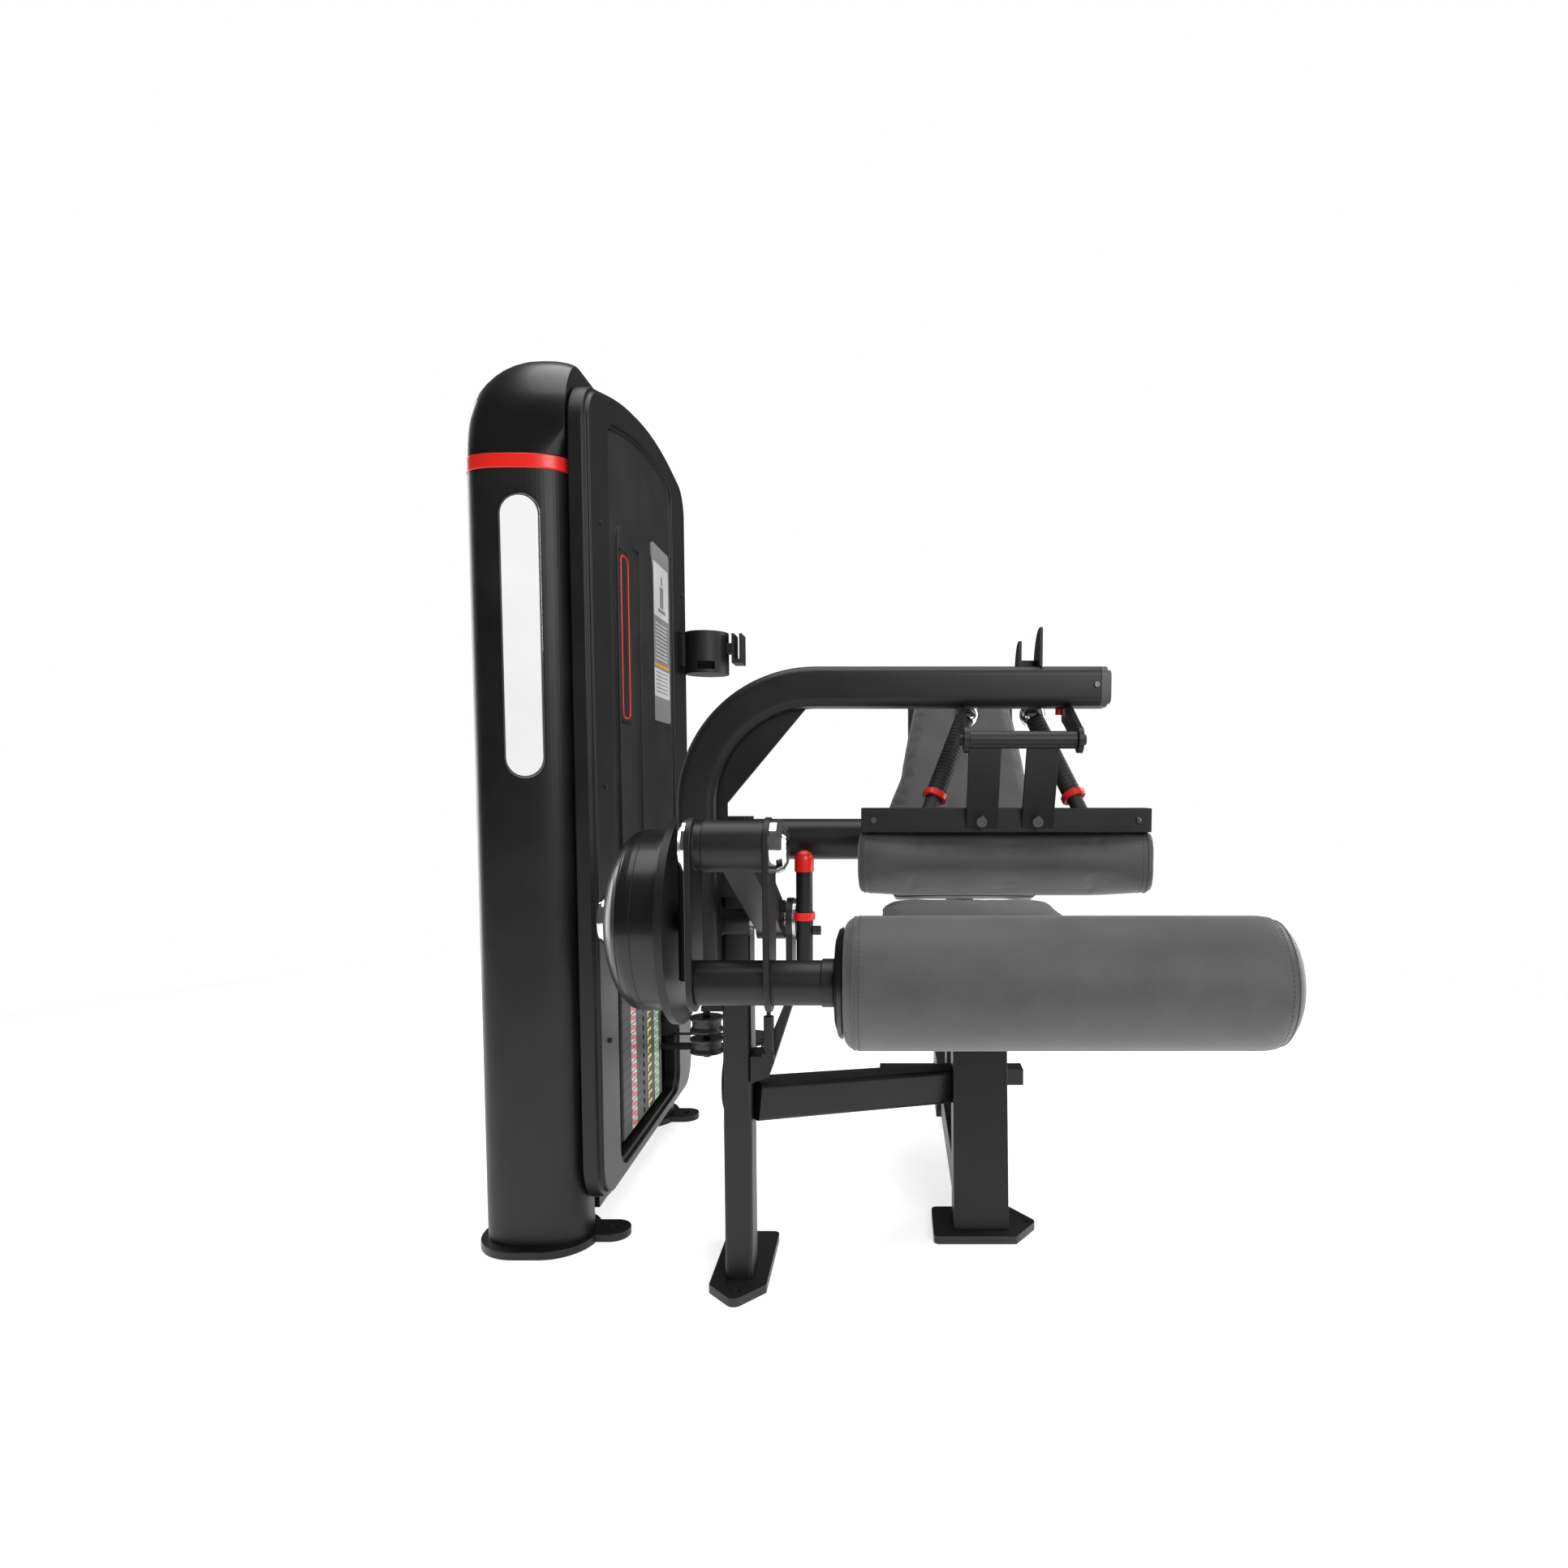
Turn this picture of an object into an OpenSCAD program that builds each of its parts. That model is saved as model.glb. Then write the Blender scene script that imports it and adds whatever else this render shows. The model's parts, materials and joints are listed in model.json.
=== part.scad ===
// Selectorised leg machine: weight tower on one side, seat, thigh hold-down and a roller arm on the other.
// Millimetres. +X points from the tower to the seat, +Y from the roller to the back rest, +Z is up.
// The modules are drawn from a point under the knee axis in the seat's middle plane. Each is then moved
// so that the origin is the pivot post's floor anchor, at floor level.

/* [Tower] */
// Height of the tower roof over the floor
tower_h = 1508; // [1308:10:1708]
// Depth of the tower, front column to rear column
tower_d = 727; // [640:5:900]
// Distance from the seat's middle plane to the middle of the tower columns
tower_offset = 763; // [763:5:900]
// Width of the oval columns
column_w = 174; // [150:2:190]
// Depth of the oval columns
column_d = 120; // [90:2:130]
// Wall of the columns and box tubes
tube_wall = 3; // [2:0.5:5]
// Distance from the knee axis to the tower's front
tower_front = 86; // [60:2:120]
// Thickness of the side shrouds
shroud_t = 34; // [24:1:34]

/* [Weight stack] */
// Plates that stay down, below the selector pin
plates_down = 15; // [8:1:16]
// Plates that the selector pin picks up
plates_up = 5; // [2:1:6]
// Distance from one plate to the next
plate_pitch = 19; // [14:0.5:24]
// Length of a plate
plate_l = 300; // [260:5:330]
// Width of a plate
plate_w = 96; // [80:2:100]
// Diameter of the guide rods
rod_dia = 24; // [18:1:28]

/* [Knee axis and arm] */
// Height of the knee axis over the floor
knee_h = 582; // [540:2:640]
// Distance from the knee axis forward to the arm's hub
arm_reach = 325; // [300:5:380]
// Height of the arm's hub over the knee axis
arm_rise = 135; // [110:5:150]
// Distance from the arm's hub down to the roller
link_l = 167; // [150:1:190]
// Diameter of the knee shaft
knee_dia = 30; // [25:1:35]
// Radius of the round cam cover
cover_r = 140; // [120:2:150]
// Radius at which the cable leaves the cam
cam_r = 110; // [95:1:120]

/* [Roller] */
// Diameter of the roller
roller_dia = 174; // [140:2:190]
// Length of the roller
roller_l = 549; // [450:5:600]
// Diameter of the roller's tube
roller_tube_dia = 55; // [45:1:60]

/* [Arch and thigh pad] */
// Height of the arch's middle line over the floor
arch_h = 932; // [900:2:980]
// Outside size of the arch's square tube
arch_tube = 58; // [50:1:62]
// Middle-line radius of the arch's bend
arch_bend = 174; // [150:2:200]
// Length of the thigh pad
thigh_l = 422; // [360:5:460]
// Height of the thigh pad
thigh_h = 88; // [70:2:100]
// Depth of the thigh pad
thigh_d = 94; // [70:2:98]

/* [Seat and back] */
// Height of the seat's top over the floor
seat_h = 545; // [500:5:600]
// Length of the seat pad
seat_l = 440; // [380:5:460]
// Width of the seat pad at its rear
seat_w = 366; // [320:5:400]
// Thickness of the seat pad
seat_t = 66; // [50:1:80]
// Length of the back pad
back_l = 540; // [460:5:600]
// Greatest width of the back pad
back_w = 364; // [320:5:400]
// Thickness of the back pad
back_t = 62; // [50:1:75]
// Recline of the back pad from upright
back_tilt = 17; // [10:1:24]
// Length of the base rail behind the seat post
rail_l = 880; // [780:10:960]
// Width of the seat post and the base rail
post_w = 96; // [70:2:100]

/* [Cable] */
// Diameter of the coated cable
cable_dia = 6; // [4:0.5:8]

/* [Hidden] */
$fn = 64;

black = [0.035, 0.035, 0.033];
charcoal = [0.13, 0.13, 0.125];
steel = [0.75, 0.76, 0.78];
red = [0.8, 0.06, 0.04];
pale = [0.9, 0.9, 0.88];

touch = 0.3;          // air between curved faces of neighbouring pieces
run_gap = 0.05;       // radial clearance of a shaft in its bearing
slide_gap = 0.5;      // air beside a sliding piece
foot_t = 14;          // thickness of the floor plates
anchor_dia = 13;      // hole for a floor anchor
cable_r = cable_dia / 2;

// Tower
tower_x = -tower_offset;
front_y = tower_front + column_d / 2;
rear_y = tower_front + tower_d - column_d / 2;
ring_h = 24;
ring_z = tower_h - 210;
column_top = ring_z;
shroud_x = tower_x + column_w / 2 + 2;      // inner face of the side shroud next to the columns
shroud_face = shroud_x + shroud_t;
shroud_z0 = 70;
shroud_z1 = tower_h;                        // top of the shroud's arched upper edge
shroud_drop = 50;                           // how far that edge falls at half its span from the crest
shroud_crest_y = 520;
shroud_half_span = 330;
shroud_y0 = tower_front + 8;
shroud_y1 = tower_front + tower_d;
shroud_corner = 75;
window_y0 = shroud_y0 + 120;
window_y1 = shroud_y1 - 142;
window_z0 = shroud_z0 + 35;
window_frame = 60;                          // width of the shroud's border over the window
window_z1 = shroud_z1 - window_frame;
panel_z0 = 640;                             // lower edge of the closed part of the window
recess_t = 4;
recess_x = shroud_face - 6;                 // face of the closed panel in the recess
skin_t = 12;

// Weight stack, close behind the window
stack_x = shroud_face - 20 - plate_w / 2;
stack_y = (window_y0 + window_y1) / 2;
stack_z = 116;
plate_air = 0.6;
rod_span = 240;
base_t = 24;
rods_z0 = 60;
rods_z1 = column_top - base_t;
down_top = stack_z + plates_down * plate_pitch;
up_top = down_top + plates_up * plate_pitch;
head_t = 26;
stem_dia = 26;
pin_dia = 10;
pin_z = down_top + plate_pitch / 2 - plate_air / 2;

// Cable pulleys
groove_r = 46;
top_pulley_z = tower_h - 136;
cable_split_z = top_pulley_z - 4;            // the part above it stays, the part below rises with the stack
top_run = groove_r + cable_r + touch;       // radius of the cable's middle line on a big pulley
rear_drop_y = stack_y + 212;                // the cable's rear vertical run
cable_x = -432;                             // plane of the cam and the low cable run
cable_y = cam_r + cable_r + touch;
low_pulley_y = cable_y + top_run;
low_pulley_z = 277;
low_run_z = low_pulley_z - top_run;
turn_groove = 34;
turn_run = turn_groove + cable_r + touch;
top_pulley_ys = [stack_y + top_run, rear_drop_y - top_run];
turn_x = cable_x - turn_run;
turn_y = rear_drop_y - turn_run;
rise_x = stack_x + turn_run;
rise_z = low_run_z + turn_run;
pulley_w = 18;
idler_w = 24;

// Knee axis group, along X
disc_r = cover_r + 21;
disc_x0 = -484;
disc_x1 = -472;
cover_x0 = -588;
cover_x1 = -493;
cover_bulge = 57;
post_x0 = -414;
post_x1 = -370;
post_y0 = -24;
post_y1 = 36;
arm_x0 = -360;
arm_x1 = -318;
post_anchor = [(post_x0 + post_x1) / 2, -56, 0];
bracket_x0 = -314;
bracket_x1 = -304;
bearing_r = 23;
shaft_x1 = -286;

// Arm hub and roller links
hub_y = -arm_reach;
hub_z = knee_h + arm_rise;
hub_r = 31.5;
hub_x0 = -376.5;
hub_x1 = -304.5;
link_t = 8;
link_r = 35;
link_left = -396;
link_right = -304;
link_pin_r = 12;
roller_y = hub_y;
roller_z = hub_z - link_l;
roller_r = roller_dia / 2;
roller_x0 = -210;
roller_x1 = roller_x0 + roller_l;
axle_r = 12;

// Arch
arch_y = -75;
arch_x = -435;
arch_r = 14;                                // corner radius of the arch's tube
arch_end = 148;
arch_low = 505;
arch_half = arch_tube / 2;
cross_y = 25;
cross_z = 706;
cross_r = 32;

// Thigh hold-down
thigh_x = 12;
hinge_y = -175;
hinge_z = arch_h - 80;
thigh_top = 724;
thigh_y0 = -125;
beam_h = 34;
beam_d = 36;

// Seat and back
post_lean = 8;
post_foot_y = 146;
post_section = 64;
seat_y0 = 95;
seat_pan_t = 14;
seat_under = seat_h - seat_t - seat_pan_t;
rail_z = 40;
rail_h = 60;
rail_w = post_w - 6;
sleeve_w = rail_w + 20;
rail_y0 = post_foot_y + 30;
rail_y1 = rail_y0 + rail_l;
post_x = 5;
back_foot_y = seat_y0 + seat_l + 8;
back_z0 = seat_h + 4;
carriage_y = back_foot_y + 190;
sleeve_top = rail_z + rail_h + 12;

// ---------- shared shapes ----------

module placed() {
    translate(-post_anchor) children();
}

module x_rod(r, x0, x1, y, z, fn = 64) {
    translate([x0, y, z]) rotate([0, 90, 0]) cylinder(r = r, h = x1 - x0, $fn = fn);
}

module y_rod(r, x, y0, y1, z, fn = 64) {
    translate([x, y0, z]) rotate([-90, 0, 0]) cylinder(r = r, h = y1 - y0, $fn = fn);
}

module z_rod(r, x, y, z0, z1, fn = 64) {
    translate([x, y, z0]) cylinder(r = r, h = z1 - z0, $fn = fn);
}

module block(x0, x1, y0, y1, z0, z1) {
    translate([x0, y0, z0]) cube([x1 - x0, y1 - y0, z1 - z0]);
}

// Rectangle with round corners, centred, built from true arcs
module round_rect(w, d, r) {
    square([w - 2 * r, d], center = true);
    square([w, d - 2 * r], center = true);
    for (sx = [-1, 1], sy = [-1, 1])
        translate([sx * (w / 2 - r), sy * (d / 2 - r)]) circle(r = r, $fn = 48);
}

// Round-cornered tube section, hollow
module tube_section(w, d, r, wall) {
    difference() {
        round_rect(w, d, r);
        round_rect(w - 2 * wall, d - 2 * wall, max(r - wall, 1));
    }
}

// Oval column outline: a rectangle whose narrow faces are drawn out into a soft curve
function oval(w, d, n = 72) = [
    for (i = [0 : n - 1])
        let (a = 360 * i / n, c = cos(a), s = sin(a))
        [sign(c) * pow(abs(c), 0.72) * w / 2, sign(s) * pow(abs(s), 0.72) * d / 2]
];

// Profile drawn in the Y-Z plane, given thickness from x0 to x1
module yz_plate(x0, x1) {
    translate([x0, 0, 0]) rotate([90, 0, 90]) linear_extrude(x1 - x0) children();
}

// Profile drawn in the X-Z plane, given thickness from y0 to y1
module xz_plate(y0, y1) {
    translate([0, y1, 0]) rotate([90, 0, 0]) linear_extrude(y1 - y0) children();
}

// Grooved wheel about Z, with a bore
module wheel(groove, rim, w, bore) {
    difference() {
        rotate_extrude() polygon([
            [bore, -w / 2], [rim, -w / 2], [rim, -w / 2 + 2.5], [groove, -cable_r - 0.4],
            [groove, cable_r + 0.4], [rim, w / 2 - 2.5], [rim, w / 2], [bore, w / 2]
        ]);
    }
}

// Floor plate outline with a point at +Y
module pointed_plate(w, l, point) {
    hull() {
        translate([0, point / 2 - l / 2 + w / 4]) square([w, 1], center = true);
        translate([-w / 2 + 10, -l / 2 + 10]) circle(r = 10, $fn = 24);
        translate([w / 2 - 10, -l / 2 + 10]) circle(r = 10, $fn = 24);
        translate([-w / 2 + 6, l / 2 - point]) circle(r = 6, $fn = 24);
        translate([w / 2 - 6, l / 2 - point]) circle(r = 6, $fn = 24);
        translate([0, l / 2 - 14]) circle(r = 14, $fn = 24);
    }
}

// ---------- tower ----------

// Floor plate of a column, with a lobe that carries the anchor hole
module tower_foot(y, lobe_y) {
    lobe_x = tower_x + column_w / 2 + 34;
    difference() {
        union() {
            translate([tower_x, y, 0]) linear_extrude(foot_t) round_rect(column_w + 26, column_d + 44, 78);
            z_rod(30, lobe_x, lobe_y, 0, foot_t);
            block(tower_x, lobe_x, lobe_y - 30, lobe_y + 30, 0, foot_t);
        }
        z_rod(anchor_dia / 2, lobe_x, lobe_y, -1, foot_t + 1);
    }
}

module tower_feet() {
    color(black) {
        tower_foot(front_y, front_y + 12);
        tower_foot(rear_y, rear_y - 6);
    }
}

module column(y, top) {
    translate([tower_x, y, foot_t]) linear_extrude(top - foot_t) difference() {
        polygon(oval(column_w, column_d));
        polygon(oval(column_w - 2 * tube_wall, column_d - 2 * tube_wall));
    }
}

module front_column() {
    color(black) column(front_y, column_top);
}

module rear_column() {
    color(black) column(rear_y, column_top);
}

module column_ring() {
    color(red) for (y = [front_y, rear_y]) translate([tower_x, y, ring_z]) linear_extrude(ring_h)
        polygon(oval(column_w + 4, column_d + 4));
}

roof_w = 250;                               // full width of the dome, its right side cut off at the shroud
roof_wall = 40;                             // upright wall under the dome
roof_nose = 101;                            // depth of the dome's rounded nose
roof_shift = 40;                            // how far the widest place moves inwards up to the crown

// Solid of the roof, inset by d: it leaves the column's oval and closes in a wide, soft dome
module roof_solid(d) {
    steps = 12;
    foot_z = ring_z + ring_h;
    rise = tower_h - 8 - foot_z - roof_wall - d;
    mid_x = tower_x - column_w / 2 - 1 + roof_w / 2;
    hull() for (s = [-1, 1]) {
        y = s < 0 ? front_y : rear_y;
        translate([tower_x, y, foot_z]) linear_extrude(10)
            polygon(oval(column_w + 2 - 2 * d, column_d + 2 - 2 * d, 48));
        for (i = [0 : steps]) {
            a = 90 * i / steps;
            half_w = (roof_w / 2 - d) * max(cos(a), 0.08);
            half_l = max(roof_shift * (sin(a) - 1) + roof_nose * cos(a) - d, 4);
            translate([0, y - s * roof_shift * sin(a), foot_z + roof_wall + (rise - 1) * sin(a)])
                linear_extrude(1) intersection() {
                    translate([mid_x, 0]) polygon(oval(2 * half_w, 2 * half_l, 48));
                    translate([mid_x - roof_w, -roof_w]) square([shroud_x - 1 - d - mid_x + roof_w, 2 * roof_w]);
                }
        }
    }
}

// Domed roof over both columns, a thin shell open at the bottom
module tower_roof() {
    color(black) difference() {
        roof_solid(0);
        translate([0, 0, -0.01]) roof_solid(4);
    }
}

// Long pale panel with round ends on the front column
light_w = 60;
light_l = 448;
light_z = 1030;

module light_shape(w, l) {
    square([w, l - w], center = true);
    for (s = [-1, 1]) translate([0, s * (l - w) / 2]) circle(r = w / 2);
}

module light_body(w, l, back, front) {
    translate([tower_x + 14, tower_front - front, light_z]) rotate([-90, 0, 0])
        linear_extrude(front + back) light_shape(w, l);
}

module light_panel() {
    color(pale) difference() {
        light_body(light_w, light_l, 6, 6);
        translate([tower_x, front_y, 0]) linear_extrude(tower_h) polygon(oval(column_w + 0.2, column_d + 0.2));
    }
}

module light_rim() {
    color(steel) difference() {
        light_body(light_w + 7, light_l + 7, 7, 4);
        light_body(light_w + 0.4, light_l + 0.4, 20, 20);
        translate([tower_x, front_y, 0]) linear_extrude(tower_h) polygon(oval(column_w + 0.2, column_d + 0.2));
    }
}

// Height of the shroud's arched upper edge
function crest(y) = shroud_z1 - shroud_drop * pow((y - shroud_crest_y) / shroud_half_span, 2);

// Upright outline with round corners, its upper edge drop below the arch
module arched_outline(y0, y1, z0, drop, corner) {
    hull() {
        for (y = [y0 + corner, y1 - corner]) {
            translate([y, z0 + corner]) circle(r = corner, $fn = 48);
            translate([y, crest(y) - drop - corner]) circle(r = corner, $fn = 48);
        }
        polygon([
            for (i = [0 : 16])
                let (y = y0 + corner + (y1 - y0 - 2 * corner) * i / 16)
                [y, crest(y) - drop],
            [(y0 + y1) / 2, z0 + corner]
        ]);
    }
}

module shroud_outline(inset) {
    arched_outline(shroud_y0 + inset, shroud_y1 - inset, shroud_z0 + inset, inset, shroud_corner - inset);
}

module window_outline(inset) {
    arched_outline(window_y0 + inset, window_y1 - inset, window_z0 + inset, window_frame + inset, 42);
}

module inner_shroud() {
    step = 8;
    color(black) {
        yz_plate(shroud_x, shroud_face - step) difference() {
            shroud_outline(0);
            window_outline(0);
        }
        yz_plate(shroud_face - step, shroud_face) difference() {
            shroud_outline(step);
            window_outline(-step);
        }
    }
}

module outer_shroud() {
    x1 = tower_x - column_w / 2 - 2;
    color(black) yz_plate(x1 - skin_t, x1)
        arched_outline(shroud_y0 + 74, shroud_y1, shroud_z0, 40, 120);
}

guard_y0 = window_y0 + 36;
guard_y1 = guard_y0 + 249;
guard_z1 = window_z1 - 180;
guard_t = 7;
label_w = 64;
label_y = guard_y0 + 40;

// Closed upper part of the window with the raised guard; the lower part stays open to the stack
module guard_panel() {
    color(black) yz_plate(recess_x - recess_t, recess_x) intersection() {
        window_outline(touch);
        translate([window_y0, panel_z0]) square([window_y1 - window_y0, window_z1 - panel_z0]);
    }
    color(black) difference() {
        yz_plate(recess_x, recess_x + guard_t)
            translate([(guard_y0 + guard_y1) / 2, (panel_z0 + guard_z1) / 2])
            round_rect(guard_y1 - guard_y0, guard_z1 - panel_z0 - 8, 45);
        block(recess_x + 2, recess_x + guard_t + 1, guard_y0 + 90, guard_y0 + 146, panel_z0 + 30, guard_z1 - 30);
        block(recess_x + guard_t - 3, recess_x + guard_t + 1, label_y - label_w / 2 - 1, label_y + label_w / 2 + 1,
            label_z0 - 1, label_z1 + 1);
    }
}

label_z0 = 905;
label_z1 = 1215;

module label_strip() {
    color(charcoal) yz_plate(recess_x + guard_t - 3, recess_x + guard_t - 0.5)
        translate([label_y, (label_z0 + label_z1) / 2])
        round_rect(label_w, label_z1 - label_z0, 14);
}

module placard() {
    color(pale) yz_plate(recess_x, recess_x + 3)
        translate([guard_y1 + 80, 1108]) round_rect(146, 364, 12);
}

// Bar between the two columns, cut to their outline
module column_bar(z0, z1) {
    x1 = shroud_x - 1;
    difference() {
        block(stack_x - 66, x1, front_y, rear_y, z0, z1);
        for (y = [front_y, rear_y]) translate([tower_x, y, z0 - 1]) linear_extrude(z1 - z0 + 2)
            polygon(oval(column_w + 0.4, column_d + 0.4));
    }
}

module stack_base() {
    color(black) {
        difference() {
            column_bar(rods_z0 - base_t, rods_z0);
            block(stack_x - 90, stack_x + 90, front_y, front_y + 40, 0, rods_z0 + 1);
            block(stack_x - 90, stack_x + 90, rear_y - 40, rear_y, 0, rods_z0 + 1);
        }
        // strut and arm of the turn pulley
        block(shroud_x - 13, shroud_x - 1, turn_y - 12, turn_y + 12, rods_z0, low_run_z - pulley_w / 2 - 14);
        block(shroud_x - 13, turn_x + 14, turn_y - 12, turn_y + 12,
            low_run_z - pulley_w / 2 - 14, low_run_z - pulley_w / 2 - 4);
        z_rod(8, turn_x, turn_y, low_run_z - pulley_w / 2 - 4, low_run_z + pulley_w / 2 + 3);
    }
}

// Bar that holds the guide rods' upper ends and, on cheeks, the two top pulleys
module top_beam() {
    beam_top = rods_z1 + base_t;
    cheek_t = 5;
    cheek_h = top_pulley_z + 14 - beam_top;
    color(black) {
        difference() {
            column_bar(rods_z1, beam_top);
            block(stack_x - 90, stack_x + 90, front_y, front_y + 40, rods_z1 - 1, beam_top + 1);
            block(stack_x - 90, stack_x + 90, rear_y - 40, rear_y, rods_z1 - 1, beam_top + 1);
            z_rod(cable_r + 4, stack_x, stack_y, rods_z1 - 1, beam_top + 1);
            z_rod(cable_r + 4, stack_x, rear_drop_y, rods_z1 - 1, beam_top + 1);
        }
        for (y = top_pulley_ys) {
            for (s = [-1, 1]) translate([stack_x + s * 14.5, y, beam_top + cheek_h / 2])
                cube([cheek_t, 32, cheek_h], center = true);
            x_rod(8, stack_x - 17, stack_x + 17, y, top_pulley_z);
        }
    }
}

module guide_rods() {
    color(steel) for (s = [-1, 1]) z_rod(rod_dia / 2, stack_x, stack_y + s * rod_span / 2, rods_z0, rods_z1);
}

module rod_bumpers() {
    color(charcoal) for (s = [-1, 1]) difference() {
        z_rod(rod_dia / 2 + 14, stack_x, stack_y + s * rod_span / 2, rods_z0, stack_z);
        z_rod(rod_dia / 2 + 0.2, stack_x, stack_y + s * rod_span / 2, rods_z0 - 1, stack_z + 1);
    }
}

// One plate: two guide holes, a stem hole and the cross hole for the selector pin
module plate(z) {
    t = plate_pitch - plate_air;
    difference() {
        translate([stack_x, stack_y, z]) linear_extrude(t) round_rect(plate_w, plate_l, 5);
        for (s = [-1, 1]) z_rod(rod_dia / 2 + 1, stack_x, stack_y + s * rod_span / 2, z - 1, z + t + 1);
        z_rod(stem_dia / 2 + 1, stack_x, stack_y, z - 1, z + t + 1);
        x_rod(pin_dia / 2 + 1, stack_x, stack_x + plate_w, stack_y, z + t / 2);
    }
}

module resting_plates() {
    color(black) for (i = [0 : plates_down - 1]) plate(stack_z + i * plate_pitch);
}

// The picked-up plates and the head plate that always rides on the stem
module lifted_plates() {
    color(black) {
        for (i = [0 : plates_up - 1]) plate(down_top + i * plate_pitch);
        difference() {
            translate([stack_x, stack_y, up_top]) linear_extrude(head_t) round_rect(plate_w, plate_l, 8);
            for (s = [-1, 1])
                z_rod(rod_dia / 2 + 0.8, stack_x, stack_y + s * rod_span / 2, up_top - 1, up_top + head_t + 1);
            z_rod(stem_dia / 2 + run_gap, stack_x, stack_y, up_top - 1, up_top + head_t + 1);
        }
    }
}

stem_top = up_top + head_t + 30;

module selector_stem() {
    color(steel) difference() {
        union() {
            z_rod(stem_dia / 2, stack_x, stack_y, stack_z + plate_pitch, stem_top);
            z_rod(stem_dia / 2 + 5, stack_x, stack_y, up_top + head_t, up_top + head_t + 10);
        }
        for (i = [1 : plates_down + plates_up - 1])
            x_rod(pin_dia / 2 + run_gap, stack_x - 20, stack_x + 20, stack_y,
                stack_z + (i + 0.5) * plate_pitch - plate_air / 2);
    }
}

module selector_pin() {
    x1 = stack_x + plate_w / 2;
    color(red) {
        x_rod(pin_dia / 2, stack_x - 12, x1 + 6, stack_y, pin_z);
        translate([x1 + 6, stack_y, pin_z]) rotate([0, 90, 0]) rotate_extrude()
            polygon([[0, 0], [9, 0], [9, 3], [13, 8], [14, 22], [11, 28], [0, 30]]);
    }
}

module top_pulley(i) {
    color(charcoal) translate([stack_x, top_pulley_ys[i], top_pulley_z]) rotate([0, 90, 0])
        wheel(groove_r, groove_r + 8, pulley_w, 8 + run_gap);
}

// ---------- cup holder ----------

holder_x = shroud_face + 54;
holder_y = shroud_y1 - 30;
holder_z = 1050;

boss_x1 = holder_x + 62;
jaw_pin_r = 4;

module cup_holder() {
    cup_r = 46;
    color(charcoal) difference() {
        union() {
            z_rod(cup_r + 5, holder_x, holder_y, holder_z, holder_z + 96);
            block(shroud_face, holder_x, holder_y - 24, holder_y + 24, holder_z + 18, holder_z + 90);
            block(holder_x, boss_x1, holder_y - 12, holder_y + 12, holder_z + 48, holder_z + 72);
        }
        z_rod(cup_r, holder_x, holder_y, holder_z + 6, holder_z + 130);
        block(holder_x - 14, holder_x + 26, holder_y - 70, holder_y, holder_z + 8, holder_z + 26);
        x_rod(jaw_pin_r + run_gap, boss_x1 - 12, boss_x1 + 1, holder_y, holder_z + 60);
    }
}

// Spring-loaded clip that holds a phone against the cup holder
module phone_jaw() {
    x0 = boss_x1 + touch;
    color(charcoal) {
        difference() {
            block(x0, x0 + 24, holder_y - 30, holder_y + 30, holder_z + 24, holder_z + 92);
            block(x0 + 6, x0 + 18, holder_y - 40, holder_y + 40, holder_z + 34, holder_z + 100);
        }
        x_rod(jaw_pin_r, x0 - 11, x0, holder_y, holder_z + 60);
    }
}

// ---------- pivot post and frame ----------

module post_foot() {
    difference() {
        translate([(post_x0 + post_x1) / 2, 32, 0]) rotate([0, 0, 180])
            linear_extrude(foot_t) pointed_plate(90, 220, 44);
        z_rod(anchor_dia / 2, post_anchor[0], post_anchor[1], -1, foot_t + 1);
    }
}

post_top = cross_z + cross_r + 4;

module pivot_post() {
    w = post_x1 - post_x0;
    d = post_y1 - post_y0;
    xm = (post_x0 + post_x1) / 2;
    ym = (post_y0 + post_y1) / 2;
    color(black) difference() {
        union() {
            translate([xm, ym, foot_t]) linear_extrude(post_top - foot_t) tube_section(w, d, 8, tube_wall);
            x_rod(bearing_r + 8, post_x0, post_x1, 0, knee_h);
            block(post_x0, post_x1, post_y0 + tube_wall, post_y1 - tube_wall, post_top - 4, post_top);
            x_rod(cross_r, post_x1, 196, cross_y, cross_z);
            block(post_x0 - 46, post_x1, post_y0 - 22, post_y0, knee_h + 40, knee_h + 150);
        }
        x_rod(bearing_r + run_gap, post_x0 - 1, post_x1 + 1, 0, knee_h);
        x_rod(cross_r - tube_wall, post_x1 + 3, 192, cross_y, cross_z);
    }
}

// Sloping square tube from the pivot post to the seat post
beam_size = 60;
beam_start = [post_x1 - 4, 17, 292];
beam_stop = [post_x - post_w / 2 + 6, 240, 247];

module cross_beam() {
    v = beam_stop - beam_start;
    yaw = atan2(v[1], v[0]);
    pitch = -atan2(v[2], norm([v[0], v[1]]));
    color(black) difference() {
        translate(beam_start) rotate([0, pitch, yaw]) rotate([90, 0, 90])
            linear_extrude(norm(v)) round_rect(beam_size, beam_size, 8);
        block(post_x0 - 99, post_x1, -200, 200, 0, 600);
        seat_post_solid(0.1);
    }
}

// Right-hand carrier of the knee shaft, with the stop damper
module pivot_bracket() {
    color(black) {
        difference() {
            union() {
                xz_plate(-28, 28) polygon([
                    [post_x1, 330], [-342, 340], [bracket_x1, 455], [bracket_x1, knee_h],
                    [bracket_x0, knee_h], [bracket_x0, 462], [-352, 372], [post_x1, 372]
                ]);
                x_rod(34, bracket_x0, bracket_x1, 0, knee_h);
            }
            x_rod(bearing_r + run_gap, bracket_x0 - 1, bracket_x1 + 1, 0, knee_h);
        }
        z_rod(8, -340, -36.5, 382, 438);
        z_rod(3.5, -340, -36.5, 438, 462);
        block(-350, -332, -44, -28, 366, 382);
    }
}

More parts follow.
